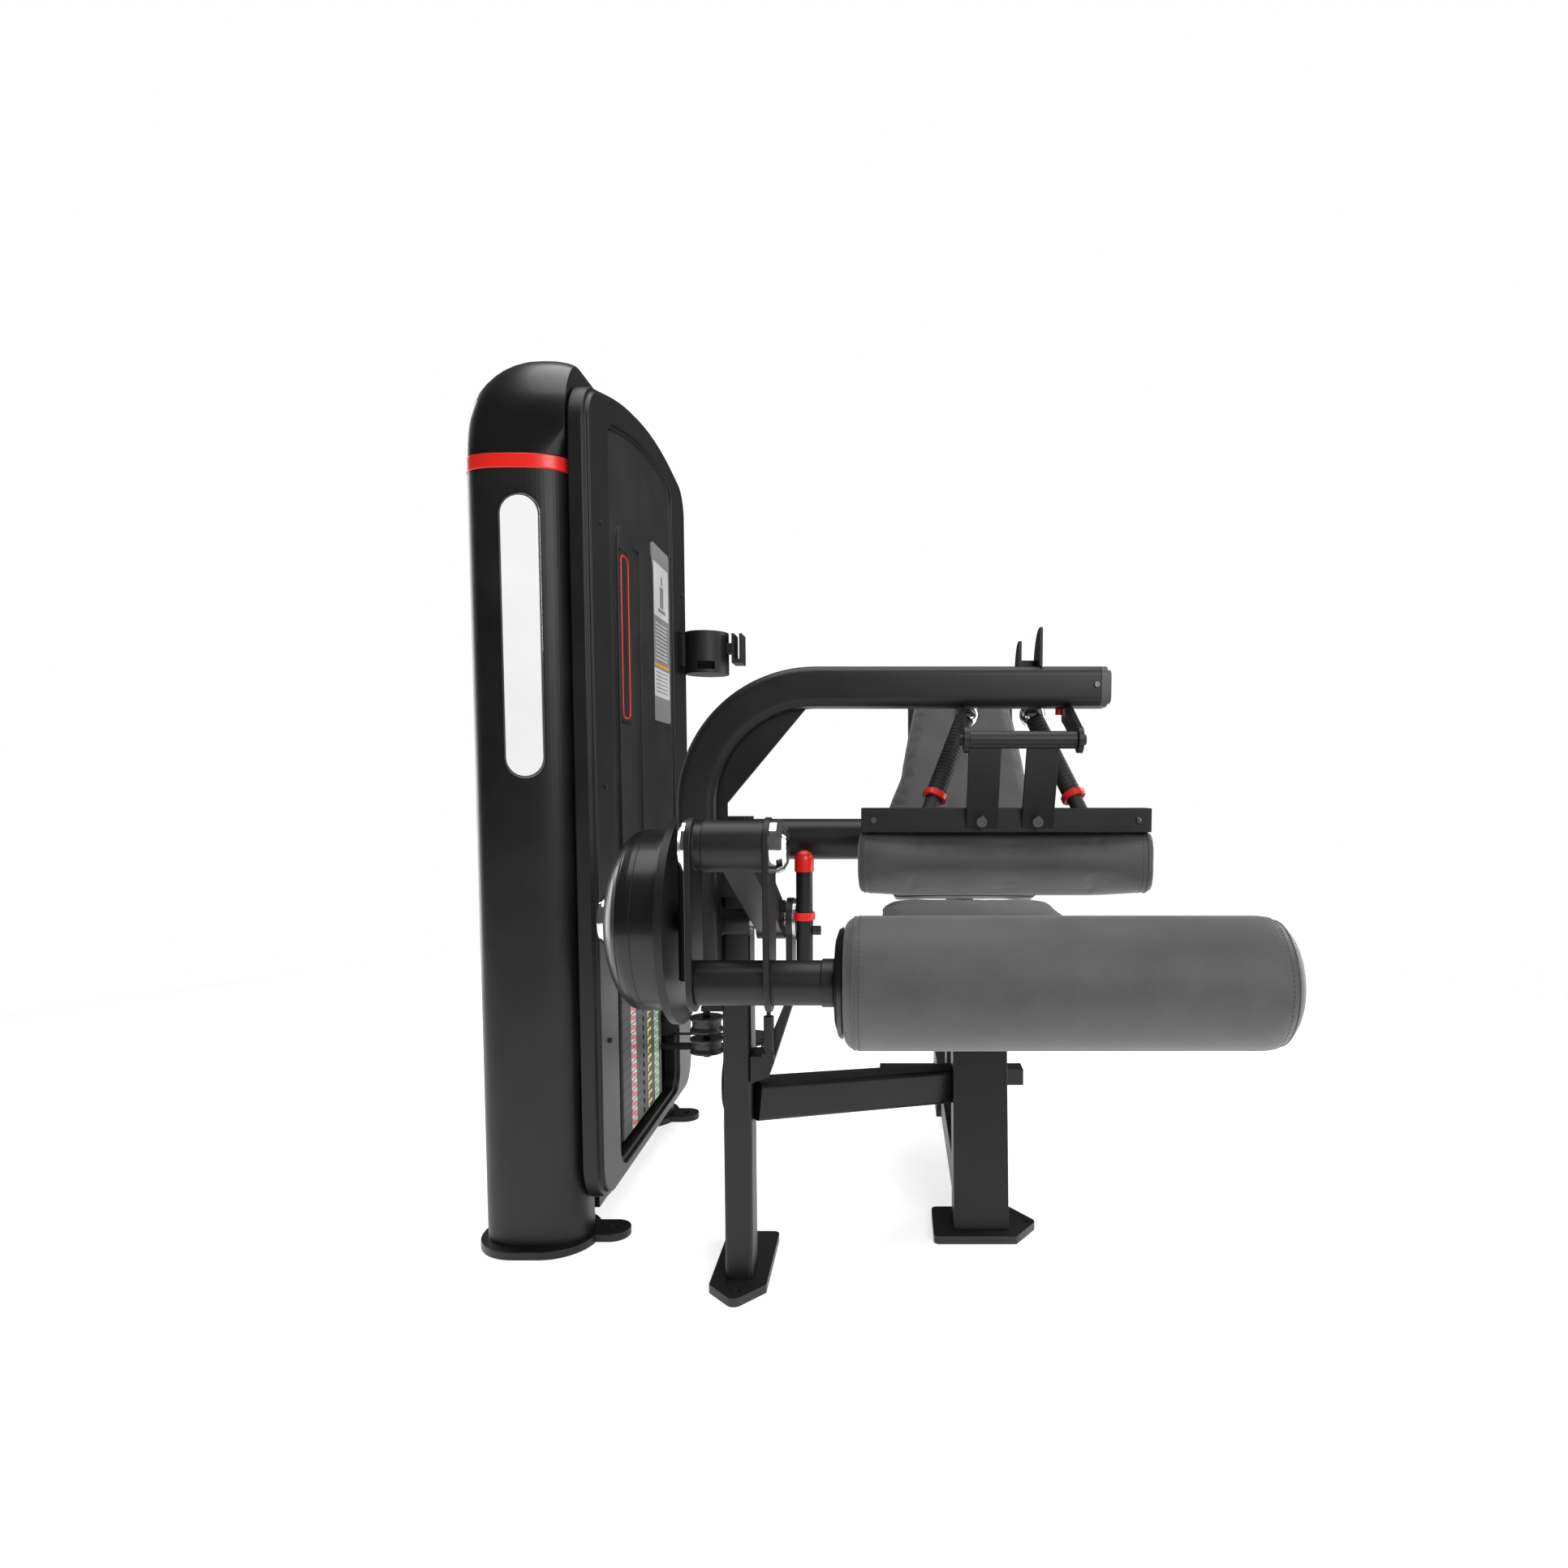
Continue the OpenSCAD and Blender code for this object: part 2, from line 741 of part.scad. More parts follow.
// Flanged bearings in the post and the bracket
module knee_bearings() {
    color(charcoal) difference() {
        union() {
            x_rod(bearing_r, post_x0, post_x1, 0, knee_h);
            x_rod(bearing_r, bracket_x0, bracket_x1, 0, knee_h);
            x_rod(33, bracket_x1, bracket_x1 + 5, 0, knee_h);
        }
        x_rod(knee_dia / 2 + run_gap, post_x0 - 9, bracket_x1 + 9, 0, knee_h);
    }
}

module knee_shaft() {
    color(steel) {
        x_rod(knee_dia / 2, cover_x0 + 8, shaft_x1, 0, knee_h);
    }
}

// Cam: big flange disc beside the cover, and the grooved cable sector on the tower side of the post
module cam() {
    color(black) {
        difference() {
            union() {
                x_rod(disc_r, disc_x0, disc_x1, 0, knee_h);
                x_rod(22, disc_x1, post_x0 - touch, 0, knee_h);
                intersection() {
                    union() {
                        translate([cable_x, 0, knee_h]) rotate([0, 90, 0])
                            wheel(cam_r, cam_r + 7, 14, knee_dia / 2 + run_gap);
                    }
                    yz_plate(cable_x - 7, cable_x + 7) polygon([
                        [0, knee_h - 20], [0, knee_h + 20], [cam_r + 30, knee_h + 40], [cam_r + 30, knee_h - 200],
                        [30, knee_h - 150]
                    ]);
                }
            }
            x_rod(knee_dia / 2 + run_gap, disc_x0 - 9, post_x0 + 9, 0, knee_h);
        }
    }
}

// Bowl-shaped cover on the cam disc, a thin shell
module cam_cover() {
    wall = 4;
    steps = 16;
    outer = [for (i = [0 : steps]) let (a = 90 * i / steps)
        [cover_r * cos(a), cover_bulge * sin(a)]];
    inner = [for (i = [steps : -1 : 0]) let (a = 90 * i / steps)
        [(cover_r - wall) * cos(a), (cover_bulge - wall) * sin(a)]];
    lip = cover_x1 - (cover_x0 + cover_bulge);
    color(black) difference() {
        translate([cover_x0 + cover_bulge, 0, knee_h]) rotate([0, -90, 0]) rotate_extrude($fn = 96)
            polygon(concat([[cover_r + 6, -lip - 9], [cover_r + 6, -lip], [cover_r, -lip]], outer, inner,
                [[cover_r - wall, -lip - 9]]));
        x_rod(knee_dia / 2 + run_gap, cover_x0 - 20, cover_x0 + 60, 0, knee_h);
    }
}

module cam_hub_cap() {
    color(steel) translate([cover_x0 - 0.2, 0, knee_h]) rotate([0, -90, 0]) rotate_extrude()
        polygon([[0, 0], [40, 0], [40, 6], [37, 12], [30, 16], [0, 19]]);
}

// Swinging arm: sleeve on the knee shaft, box tube and the hub that carries the roller links
module arm() {
    l = norm([arm_reach, arm_rise]);
    xm = (arm_x0 + arm_x1) / 2;
    color(black) difference() {
        union() {
            x_rod(30, arm_x0, arm_x1, 0, knee_h);
            translate([xm, 0, knee_h]) rotate([-atan2(arm_rise, arm_reach), 0, 0])
                translate([-19, -l, -25]) cube([38, l, 50]);
            x_rod(hub_r, hub_x0, hub_x1, hub_y, hub_z);
        }
        x_rod(knee_dia / 2 + run_gap, arm_x0 - 1, arm_x1 + 1, 0, knee_h);
        x_rod(link_pin_r + run_gap, hub_x0 - 1, hub_x1 + 1, hub_y, hub_z);
    }
}

// ---------- roller carriage ----------

module link_plate(x0) {
    difference() {
        union() {
            x_rod(link_r, x0, x0 + link_t, hub_y, hub_z);
            x_rod(link_r, x0, x0 + link_t, roller_y, roller_z);
            block(x0, x0 + link_t, hub_y - link_r, hub_y + link_r, roller_z, hub_z);
        }
        x_rod(link_pin_r + run_gap, x0 - 1, x0 + link_t + 1, hub_y, hub_z);
    }
}

module link_plates() {
    color(black) {
        link_plate(link_left);
        difference() {
            link_plate(link_right);
            x_rod(roller_tube_dia / 2 + run_gap, link_right - 1, link_right + link_t + 1, roller_y, roller_z);
        }
        difference() {
            x_rod(29, link_left + link_t, hub_x0 - 0.5, hub_y, hub_z);
            x_rod(link_pin_r + run_gap, link_left, hub_x0 + 1, hub_y, hub_z);
        }
    }
}

// Pin through the arm's hub, with a domed bright cap at each end
module link_pin() {
    color(steel) {
        x_rod(link_pin_r, link_left, link_right + link_t, hub_y, hub_z);
        translate([link_left - 0.1, hub_y, hub_z]) rotate([0, -90, 0]) rotate_extrude()
            polygon([[0, 0], [33, 0], [33, 4], [28, 8], [0, 9]]);
        translate([link_right + link_t + 0.1, hub_y, hub_z]) rotate([0, 90, 0]) rotate_extrude()
            polygon([[0, 0], [33, 0], [33, 8], [29, 15], [22, 19], [0, 20]]);
    }
}

module roller_tube() {
    color(black) {
        x_rod(roller_tube_dia / 2, link_left + link_t, roller_x0 - 12, roller_y, roller_z);
        x_rod(roller_tube_dia / 2 + 2, roller_x0 - 26, roller_x0 - 11, roller_y, roller_z);
        x_rod(axle_r, roller_x0 - 11, roller_x1 - 20, roller_y, roller_z);
    }
}

module roller_disc() {
    color(charcoal) difference() {
        translate([roller_x0, roller_y, roller_z]) rotate([0, -90, 0]) rotate_extrude()
            polygon([[0, 0], [roller_r - 19, 0], [roller_r - 22, 5], [roller_r - 34, 9], [30, 10.5], [0, 10.5]]);
        x_rod(axle_r + run_gap, roller_x0 - 20, roller_x0 + 1, roller_y, roller_z);
    }
}

module roller_pad() {
    color(charcoal) difference() {
        translate([roller_x0, roller_y, roller_z]) rotate([0, 90, 0]) rotate_extrude($fn = 96) polygon(concat(
            [[0, 0]],
            [for (a = [0 : 15 : 90]) [roller_r - 16 + 16 * sin(a), 16 - 16 * cos(a)]],
            [for (a = [0 : 10 : 80]) [roller_r * pow(cos(a), 0.7), roller_l - 44 + 44 * sin(a)]],
            [[0, roller_l]]
        ));
        x_rod(axle_r + run_gap, roller_x0 - 1, roller_x1 - 15, roller_y, roller_z);
    }
}

// ---------- start-position lever ----------

lever_x0 = bracket_x1 + 5 + slide_gap;
lever_tube_x = lever_x0 + 14;
lever_y = -34;

module start_lever() {
    color(black) {
        difference() {
            union() {
                x_rod(31, lever_x0, lever_x0 + 12, 0, knee_h);
                z_rod(12.5, lever_tube_x, lever_y, knee_h - 58, knee_h + 104);
                x_rod(16, lever_x0 + 12, lever_tube_x, lever_y, knee_h);
            }
            x_rod(knee_dia / 2 + run_gap, lever_x0 - 1, shaft_x1 + 1, 0, knee_h);
        }
    }
}

module lever_knob() {
    x0 = lever_tube_x + 12.5 + touch;
    color(charcoal) x_rod(7, x0, x0 + 12, lever_y, knee_h - 12);
}

// ---------- low pulleys and the cable ----------

idler_x = -462;
idler_y = 100;

module low_pulley() {
    color(charcoal) translate([cable_x, low_pulley_y, low_pulley_z]) rotate([0, 90, 0])
        wheel(groove_r, groove_r + 6, pulley_w, 8 + run_gap);
}

module idler_pulleys() {
    color(charcoal) for (z = [356, 392]) translate([idler_x, idler_y, z]) wheel(24, 28, idler_w, 6 + run_gap);
}

module turn_pulley() {
    color(charcoal) translate([turn_x, turn_y, low_run_z])
        wheel(turn_groove, turn_groove + 6, pulley_w, 8 + run_gap);
}

module rise_pulley() {
    color(charcoal) translate([rise_x, rear_drop_y, rise_z]) rotate([90, 0, 0])
        wheel(turn_groove, turn_groove + 6, pulley_w, 8 + run_gap);
}

module pulley_brackets() {
    rise_y1 = rear_drop_y + pulley_w / 2 + 1;
    color(black) {
        // axle of the low pulley and its arm on the pivot post
        x_rod(8, cable_x - 14, post_x0, low_pulley_y, low_pulley_z);
        block(post_x0, post_x0 + 8, post_y1, low_pulley_y + 16, low_pulley_z - 16, low_pulley_z + 16);
        // axle of the idlers and its arm
        z_rod(6, idler_x, idler_y, 336, 414);
        block(idler_x - 8, post_x0 + 8, idler_y - 8, idler_y + 8, 414, 422);
        block(post_x0, post_x0 + 8, post_y1, idler_y - 8, 414, 422);
        // axle of the rise pulley on its plate on the rear column
        y_rod(8, rise_x, rear_drop_y - pulley_w / 2 - 3, rise_y1, rise_z);
        block(tower_x - 20, rise_x + 12, rise_y1, rise_y1 + 5, rise_z - 14, rise_z + 14);
        difference() {
            block(tower_x - 20, shroud_x - 2, rise_y1 + 5, rear_y, rise_z - 14, rise_z + 14);
            translate([tower_x, rear_y, 0]) linear_extrude(900) polygon(oval(column_w + 0.4, column_d + 0.4));
            block(tower_x - 30, shroud_x, rear_y - 40, rear_y + 1, rise_z - 20, rise_z + 20);
        }
    }
}

// Quarter turns of the cable's middle line, from angle a0 to a1 about a centre in a plane (u, v)
function turn(c, u, v, r, a0, a1, n = 9) = [
    for (i = [0 : n]) let (a = a0 + (a1 - a0) * i / n) c + r * cos(a) * u + r * sin(a) * v
];

function unit(v) = v / norm(v);

// Tube of radius r along a list of points, its section carried along without twist
module swept(path, r, sides = 8) {
    n = len(path);
    dirs = [for (i = [0 : n - 1]) unit(path[min(i + 1, n - 1)] - path[max(i - 1, 0)])];
    sides_u = [for (i = 0, u = [1, 0, 0]; i < n; i = i + 1,
        u = i < n ? unit(u - (u * dirs[i]) * dirs[i]) : u) u];
    pts = [for (i = [0 : n - 1]) let (w = cross(dirs[i], sides_u[i]))
        each [for (k = [0 : sides - 1])
            path[i] + r * cos(360 * k / sides) * sides_u[i] + r * sin(360 * k / sides) * w]];
    walls = [for (i = [0 : n - 2], k = [0 : sides - 1])
        [i * sides + k, (i + 1) * sides + k, (i + 1) * sides + (k + 1) % sides, i * sides + (k + 1) % sides]];
    polyhedron(pts, concat(walls,
        [[for (k = [0 : sides - 1]) k]], [[for (k = [sides - 1 : -1 : 0]) (n - 1) * sides + k]]));
}

module drive_cable() {
    ux = [1, 0, 0];
    uy = [0, 1, 0];
    uz = [0, 0, 1];
    low = concat(
        [[cable_x, cable_y, knee_h], [cable_x, cable_y, knee_h - 150]],
        turn([cable_x, low_pulley_y, low_pulley_z], -uy, -uz, top_run, 0, 90),
        [[cable_x, low_pulley_y + 120, low_run_z], [cable_x, low_pulley_y + 260, low_run_z]],
        turn([turn_x, turn_y, low_run_z], ux, uy, turn_run, 0, 90),
        [[(turn_x + rise_x) / 2, rear_drop_y, low_run_z]],
        turn([rise_x, rear_drop_y, rise_z], -uz, -ux, turn_run, 0, 90),
        [for (z = [rise_z + 150 : 200 : top_pulley_z - 60]) [stack_x, rear_drop_y, z]],
        turn([stack_x, top_pulley_ys[1], top_pulley_z], uy, uz, top_run, 0, 90),
        turn([stack_x, top_pulley_ys[0], top_pulley_z], uz, -uy, top_run, 0, 90),
        [[stack_x, stack_y, cable_split_z]]
    );
    color(charcoal) swept(low, cable_r);
}

module stack_cable() {
    color(charcoal) z_rod(cable_r, stack_x, stack_y, stem_top, cable_split_z, 24);
}

// ---------- arch ----------

module arch_section() {
    round_rect(arch_tube, arch_tube, arch_r);
}

module arch() {
    cx = arch_x + arch_bend;
    cz = arch_h - arch_bend;
    color(black) {
        translate([arch_x, arch_y, arch_low]) linear_extrude(cz - arch_low) arch_section();
        translate([cx, arch_y, cz]) rotate([90, 0, 0]) rotate_extrude(angle = 90, start = 90)
            translate([arch_bend, 0]) arch_section();
        translate([cx, arch_y, arch_h]) rotate([90, 0, 90]) linear_extrude(arch_end - cx) arch_section();
    }
}

// Gusset in the bend, end cap, lower plug and the two rounded plates above the beam
module arch_details() {
    cx = arch_x + arch_bend;
    cz = arch_h - arch_bend;
    inner = arch_bend - arch_half;
    under = arch_h - arch_half;
    color(black) {
        xz_plate(arch_y - 4, arch_y + 4) {
            intersection() {
                translate([cx, cz]) circle(r = inner - 0.1, $fn = 96);
                polygon([[arch_x, cz + 6], [cx - inner + 13, cz + 6], [cx - 15, under], [arch_x, under]]);
            }
            translate([cx - inner + 0.1, cz - 18]) square([13, 24]);
        }
    }
    color(charcoal) translate([arch_end, arch_y, arch_h]) rotate([90, 0, 90]) {
        linear_extrude(9) arch_section();
        translate([0, 0, 9]) linear_extrude(6) round_rect(arch_tube - 10, arch_tube - 10, arch_r - 3);
    }
    color(black) {
        fin(60, -100, 104, 55);
        fin(34, -70, 96, 40);
        block(34, 60, -64, -48, arch_h + arch_half, arch_h + arch_half + 12);
    }
}

module fin(x, y, l, h) {
    z0 = arch_h + arch_half;
    yz_plate(x, x + 4) intersection() {
        translate([y, z0]) square([l, h]);
        translate([y + 8, z0]) circle(r = h);
    }
}

// ---------- thigh hold-down ----------

ear_left = thigh_x - 66;
ear_right = thigh_x + 88;
ear_t = 7;

module thigh_hanger() {
    under = arch_h - arch_half;
    color(black) difference() {
        for (x = [ear_left, ear_right]) union() {
            yz_plate(x, x + ear_t) polygon([
                [arch_y + arch_half - 5, under], [arch_y - arch_half + 2, under], [hinge_y - 12, hinge_z + 13],
                [hinge_y + 12, hinge_z - 13], [arch_y, under - 26], [arch_y + arch_half - 5, under - 18]
            ]);
            x_rod(18, x, x + ear_t, hinge_y, hinge_z);
        }
        x_rod(7 + run_gap, ear_left - 1, ear_right + ear_t + 1, hinge_y, hinge_z);
    }
}

// Cross tube on the hinge, two flat hangers and the beam behind the pad
module thigh_frame() {
    beam_y1 = thigh_y0 + beam_d;
    color(black) {
        x_rod(7, ear_left - 5, ear_right + ear_t + 5, hinge_y, hinge_z);
        x_rod(12, ear_left + ear_t + slide_gap, ear_right - slide_gap, hinge_y, hinge_z);
        for (x = [thigh_x - 36, thigh_x + 43]) yz_plate(x - 22, x + 22) polygon([
            [hinge_y - 3, hinge_z + 2], [hinge_y + 6, hinge_z + 2], [thigh_y0 + 9, thigh_top + 20],
            [thigh_y0 + 9, thigh_top + 6], [thigh_y0 - 1.5, thigh_top + 6]
        ]);
        block(thigh_x - thigh_l / 2 + 4, thigh_x + thigh_l / 2 - 6, thigh_y0, beam_y1, thigh_top, thigh_top + beam_h);
    }
}

module thigh_pad() {
    color(charcoal) translate([thigh_x - thigh_l / 2, thigh_y0 + thigh_d / 2, thigh_top - thigh_h / 2])
        rotate([90, 0, 90]) linear_extrude(thigh_l) round_rect(thigh_d, thigh_h, 24);
}

grip_low = [113, -98, thigh_top + beam_h];
grip_high = [47, -6, 890];
grip_r = 14;

module grip(side) {
    a = [thigh_x + side * grip_low[0], grip_low[1], grip_low[2] - 12];
    b = [thigh_x + side * grip_high[0], grip_high[1], grip_high[2]];
    v = b - a;
    l = norm(v);
    translate(a) rotate([0, acos(v[2] / l), atan2(v[1], v[0])]) rotate_extrude() polygon([
        [0, 0], [11, 0], [11, 31], [grip_r + 4, 31], [grip_r + 4, 39], [grip_r, 39], [grip_r, l],
        [20, l], [21, l + 3], [21, l + 9], [18, l + 13], [0, l + 15]
    ]);
}

// The stubs are pressed into the beam
module grips() {
    color(charcoal) for (s = [-1, 1]) grip(s);
}

module thigh_knob() {
    color(red) z_rod(5, thigh_x + 80, arch_y, arch_h - arch_half - 10, arch_h - arch_half - touch);
}

// ---------- seat ----------

module seat_post_solid(grow) {
    translate([post_x, post_foot_y, foot_t]) rotate([-post_lean, 0, 0])
        translate([-post_w / 2 - grow, -grow, -20]) cube([post_w + 2 * grow, post_section + 2 * grow, 600]);
}

module seat_foot() {
    difference() {
        translate([post_x + 7, post_foot_y + 34, 0]) rotate([0, 0, -90])
            linear_extrude(foot_t) pointed_plate(118, 182, 42);
        z_rod(anchor_dia / 2, post_x + 82, post_foot_y + 34, -1, foot_t + 1);
    }
}

module station_feet() {
    color(charcoal) {
        post_foot();
        seat_foot();
    }
}

// Seat post, base rail, rear foot, seat tube and pan
module seat_base() {
    top_z = seat_under;
    x0 = post_x - post_w / 2;
    x1 = post_x + post_w / 2;
    color(black) {
        difference() {
            seat_post_solid(0);
            block(x0 - 9, x1 + 9, 0, 400, -40, foot_t);
            block(x0 - 9, x1 + 9, 0, 400, top_z + 4, 900);
        }
        difference() {
            block(post_x - rail_w / 2, post_x + rail_w / 2, rail_y0, rail_y1, rail_z, rail_z + rail_h);
            block(post_x - rail_w / 2 + 4, post_x + rail_w / 2 - 4, rail_y0 + 120, rail_y1 - 66,
                rail_z + 4, rail_z + rail_h - 4);
        }
        block(post_x - 190, post_x + 190, rail_y1 - 62, rail_y1 - 2, 0, rail_z + 2);
        block(post_x - 150, post_x + 150, seat_y0 + 40, seat_y0 + seat_l - 30, top_z, top_z + seat_pan_t);
        block(post_x - 25, post_x + 25, seat_y0 + seat_l - 90, seat_y0 + seat_l - 50,
            rail_z + rail_h - 2, top_z + 4);
    }
}

module seat_pad() {
    color(charcoal) translate([post_x, seat_y0 + seat_l / 2, seat_under + seat_pan_t])
        linear_extrude(seat_t) round_rect(seat_w, seat_l, 60);
}

// Upright carriage that slides on the base rail and carries the back board
module back_carriage() {
    y0 = carriage_y;
    color(black) {
        difference() {
            block(post_x - sleeve_w / 2, post_x + sleeve_w / 2, y0 - 60, y0 + 60, rail_z - 12, sleeve_top);
            block(post_x - rail_w / 2 - slide_gap, post_x + rail_w / 2 + slide_gap, y0 - 61, y0 + 61,
                rail_z - slide_gap, rail_z + rail_h + slide_gap);
        }
        translate([post_x, y0, 0]) {
            block(-30, 30, -30, 30, sleeve_top, back_z0 + 240);
        }
        block(post_x - 30, post_x + 30, back_foot_y + back_t + 68, y0, back_z0 + 150, back_z0 + 200);
        translate([post_x, back_foot_y, back_z0]) rotate([-back_tilt, 0, 0])
            translate([-120, back_t, 60]) cube([240, 14, back_l - 130]);
    }
}

// Back pad: wide at the waist, narrow and round at the top
function back_half(s) = back_w / 2 * (0.86 + 0.14 * sin(180 * min(s / 0.5, 1)))
    * (s < 0.3 ? 1 : 1 - 0.42 * pow((s - 0.3) / 0.7, 1.4));

module back_pad() {
    n = 20;
    pts = concat(
        [for (i = [0 : n]) let (s = i / n) [back_half(s) * (i == n ? 0.84 : 1), s * back_l]],
        [for (i = [n : -1 : 0]) let (s = i / n) [-back_half(s) * (i == n ? 0.84 : 1), s * back_l]]
    );
    color(charcoal) translate([post_x, back_foot_y, back_z0]) rotate([-back_tilt, 0, 0])
        translate([0, back_t - touch, 0]) rotate([90, 0, 0]) linear_extrude(back_t - touch) polygon(pts);
}

module back_knob() {
    x0 = post_x + sleeve_w / 2 + touch;
    color(red) x_rod(12, x0, x0 + 26, carriage_y, rail_z + rail_h / 2);
}

placed() tower_feet();
placed() front_column();
placed() rear_column();
placed() column_ring();
placed() tower_roof();
placed() light_panel();
placed() light_rim();
placed() inner_shroud();
placed() outer_shroud();
placed() guard_panel();
placed() label_strip();
placed() placard();
placed() stack_base();
placed() top_beam();
placed() guide_rods();
placed() rod_bumpers();
placed() resting_plates();
placed() lifted_plates();
placed() selector_stem();
placed() selector_pin();
placed() top_pulley(0);  // front_top_pulley
placed() top_pulley(1);  // rear_top_pulley
placed() cup_holder();
placed() phone_jaw();
placed() station_feet();
placed() pivot_post();
placed() cross_beam();
placed() pivot_bracket();
placed() knee_bearings();
placed() knee_shaft();
placed() cam();
placed() cam_cover();
placed() cam_hub_cap();
placed() arm();
placed() link_plates();
placed() link_pin();
placed() roller_tube();
placed() roller_disc();
placed() roller_pad();
placed() start_lever();
placed() lever_knob();
placed() low_pulley();
placed() idler_pulleys();
placed() turn_pulley();
placed() rise_pulley();
placed() pulley_brackets();
placed() drive_cable();
placed() stack_cable();
placed() arch();
placed() arch_details();
placed() thigh_hanger();
placed() thigh_frame();
placed() thigh_pad();
placed() grips();
placed() thigh_knob();
placed() seat_base();
placed() seat_pad();
placed() back_carriage();
placed() back_pad();
placed() back_knob();
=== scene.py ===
# %% [markdown]
# # A leg machine from the gym floor
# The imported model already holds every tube, pulley and joint at its true size. This lesson dresses
# it: powder coat, moulded shells, grained vinyl cushions, bright caps, screws, stitches and labels.
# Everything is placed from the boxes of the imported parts, so nothing has to be fitted by eye.

# %% Load the frame
import json
import math

import bmesh
import bpy
from mathutils import Matrix, Vector
from mathutils.bvhtree import BVHTree


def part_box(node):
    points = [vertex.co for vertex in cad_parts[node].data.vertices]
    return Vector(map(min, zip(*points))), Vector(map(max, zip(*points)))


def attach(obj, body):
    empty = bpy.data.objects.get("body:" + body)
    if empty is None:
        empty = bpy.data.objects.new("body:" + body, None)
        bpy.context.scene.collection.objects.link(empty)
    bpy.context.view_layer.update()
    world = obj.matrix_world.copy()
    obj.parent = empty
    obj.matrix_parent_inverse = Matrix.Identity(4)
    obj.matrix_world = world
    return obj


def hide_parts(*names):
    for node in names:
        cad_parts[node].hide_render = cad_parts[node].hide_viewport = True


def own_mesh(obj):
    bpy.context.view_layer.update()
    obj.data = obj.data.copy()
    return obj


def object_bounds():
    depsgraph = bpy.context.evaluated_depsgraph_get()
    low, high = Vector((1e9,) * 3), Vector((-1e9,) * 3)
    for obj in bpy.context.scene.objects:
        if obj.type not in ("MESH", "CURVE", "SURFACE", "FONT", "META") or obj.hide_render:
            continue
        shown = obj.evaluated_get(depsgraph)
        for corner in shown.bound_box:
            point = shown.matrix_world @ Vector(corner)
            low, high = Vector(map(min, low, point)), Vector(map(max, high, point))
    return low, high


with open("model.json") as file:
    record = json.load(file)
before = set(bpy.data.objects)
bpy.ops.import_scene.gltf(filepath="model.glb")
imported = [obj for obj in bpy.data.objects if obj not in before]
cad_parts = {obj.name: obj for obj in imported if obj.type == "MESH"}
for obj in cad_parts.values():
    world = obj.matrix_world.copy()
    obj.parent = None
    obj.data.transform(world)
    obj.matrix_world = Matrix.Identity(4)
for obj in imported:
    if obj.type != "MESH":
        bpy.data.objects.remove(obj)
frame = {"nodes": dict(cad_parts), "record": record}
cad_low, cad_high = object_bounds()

MM = 0.001
NODES = frame["nodes"]
BODY_OF = {n: body for body, names in frame["record"]["behaviour"]["bodies"].items() for n in names}
SLOT_OF = {s["node"]: s["material_slot"] for s in frame["record"]["subparts"]}


# %% [markdown]
# ## Finishes
# A finish is more than a colour. Paint has a faint orange peel, moulded plastic has a fine texture,
# and both wear a little unevenly. One helper builds the common part, which is a colour that drifts, a
# roughness that drifts and a bump that stays finer than a millimetre. Each finish then only
# says its numbers. All patterns read Object coordinates, so they stay put when a part moves.

# %% The common part of every finish
def add_node(tree, kind, **settings):
    made = tree.nodes.new(kind)
    for key, value in settings.items():
        setattr(made, key, value)
    return made


def noise_at(tree, place, scale, detail=3.0):
    noise = add_node(tree, "ShaderNodeTexNoise")
    noise.inputs["Scale"].default_value = scale
    noise.inputs["Detail"].default_value = detail
    tree.links.new(place.outputs["Object"], noise.inputs["Vector"])
    return noise


def surface(name, dark, light, rough, grain, depth, metal=0.0, coat=0.0, sheen=0.0, drift=9.0,
            specular=0.5):
    """A finish whose colour runs from dark to light, with rough = (low, high) and a fine bump."""
    mat = bpy.data.materials.new(name)
    mat.use_nodes = True
    tree = mat.node_tree
    shader = tree.nodes["Principled BSDF"]
    place = add_node(tree, "ShaderNodeTexCoord")
    slow = noise_at(tree, place, drift, 4.0)
    ramp = add_node(tree, "ShaderNodeValToRGB")
    ramp.color_ramp.elements[0].position = 0.32
    ramp.color_ramp.elements[1].position = 0.68
    ramp.color_ramp.elements[0].color = (*dark, 1)
    ramp.color_ramp.elements[1].color = (*light, 1)
    spread = add_node(tree, "ShaderNodeMapRange")
    spread.inputs["To Min"].default_value, spread.inputs["To Max"].default_value = rough
    fine = noise_at(tree, place, grain, 2.0)
    bump = add_node(tree, "ShaderNodeBump")
    bump.inputs["Strength"].default_value = 0.6
    bump.inputs["Distance"].default_value = depth * MM
    tree.links.new(slow.outputs["Fac"], ramp.inputs["Fac"])
    tree.links.new(ramp.outputs["Color"], shader.inputs["Base Color"])
    tree.links.new(slow.outputs["Fac"], spread.inputs["Value"])
    tree.links.new(spread.outputs["Result"], shader.inputs["Roughness"])
    tree.links.new(fine.outputs["Fac"], bump.inputs["Height"])
    tree.links.new(bump.outputs["Normal"], shader.inputs["Normal"])
    shader.inputs["Metallic"].default_value = metal
    shader.inputs["Coat Weight"].default_value = coat
    shader.inputs["Coat Roughness"].default_value = 0.12
    shader.inputs["Sheen Weight"].default_value = sheen
    shader.inputs["Specular IOR Level"].default_value = specular
    return mat


def grey(value, warm=0.0):
    return (value * (1 + warm), value * (1 + warm * 0.6), value)


# %% [markdown]
# Powder coat is satin with a fine orange peel and a slightly warm black. The shells are glossier,
# the shroud sheets are drier, and the moulded parts have a coarser sparkle.

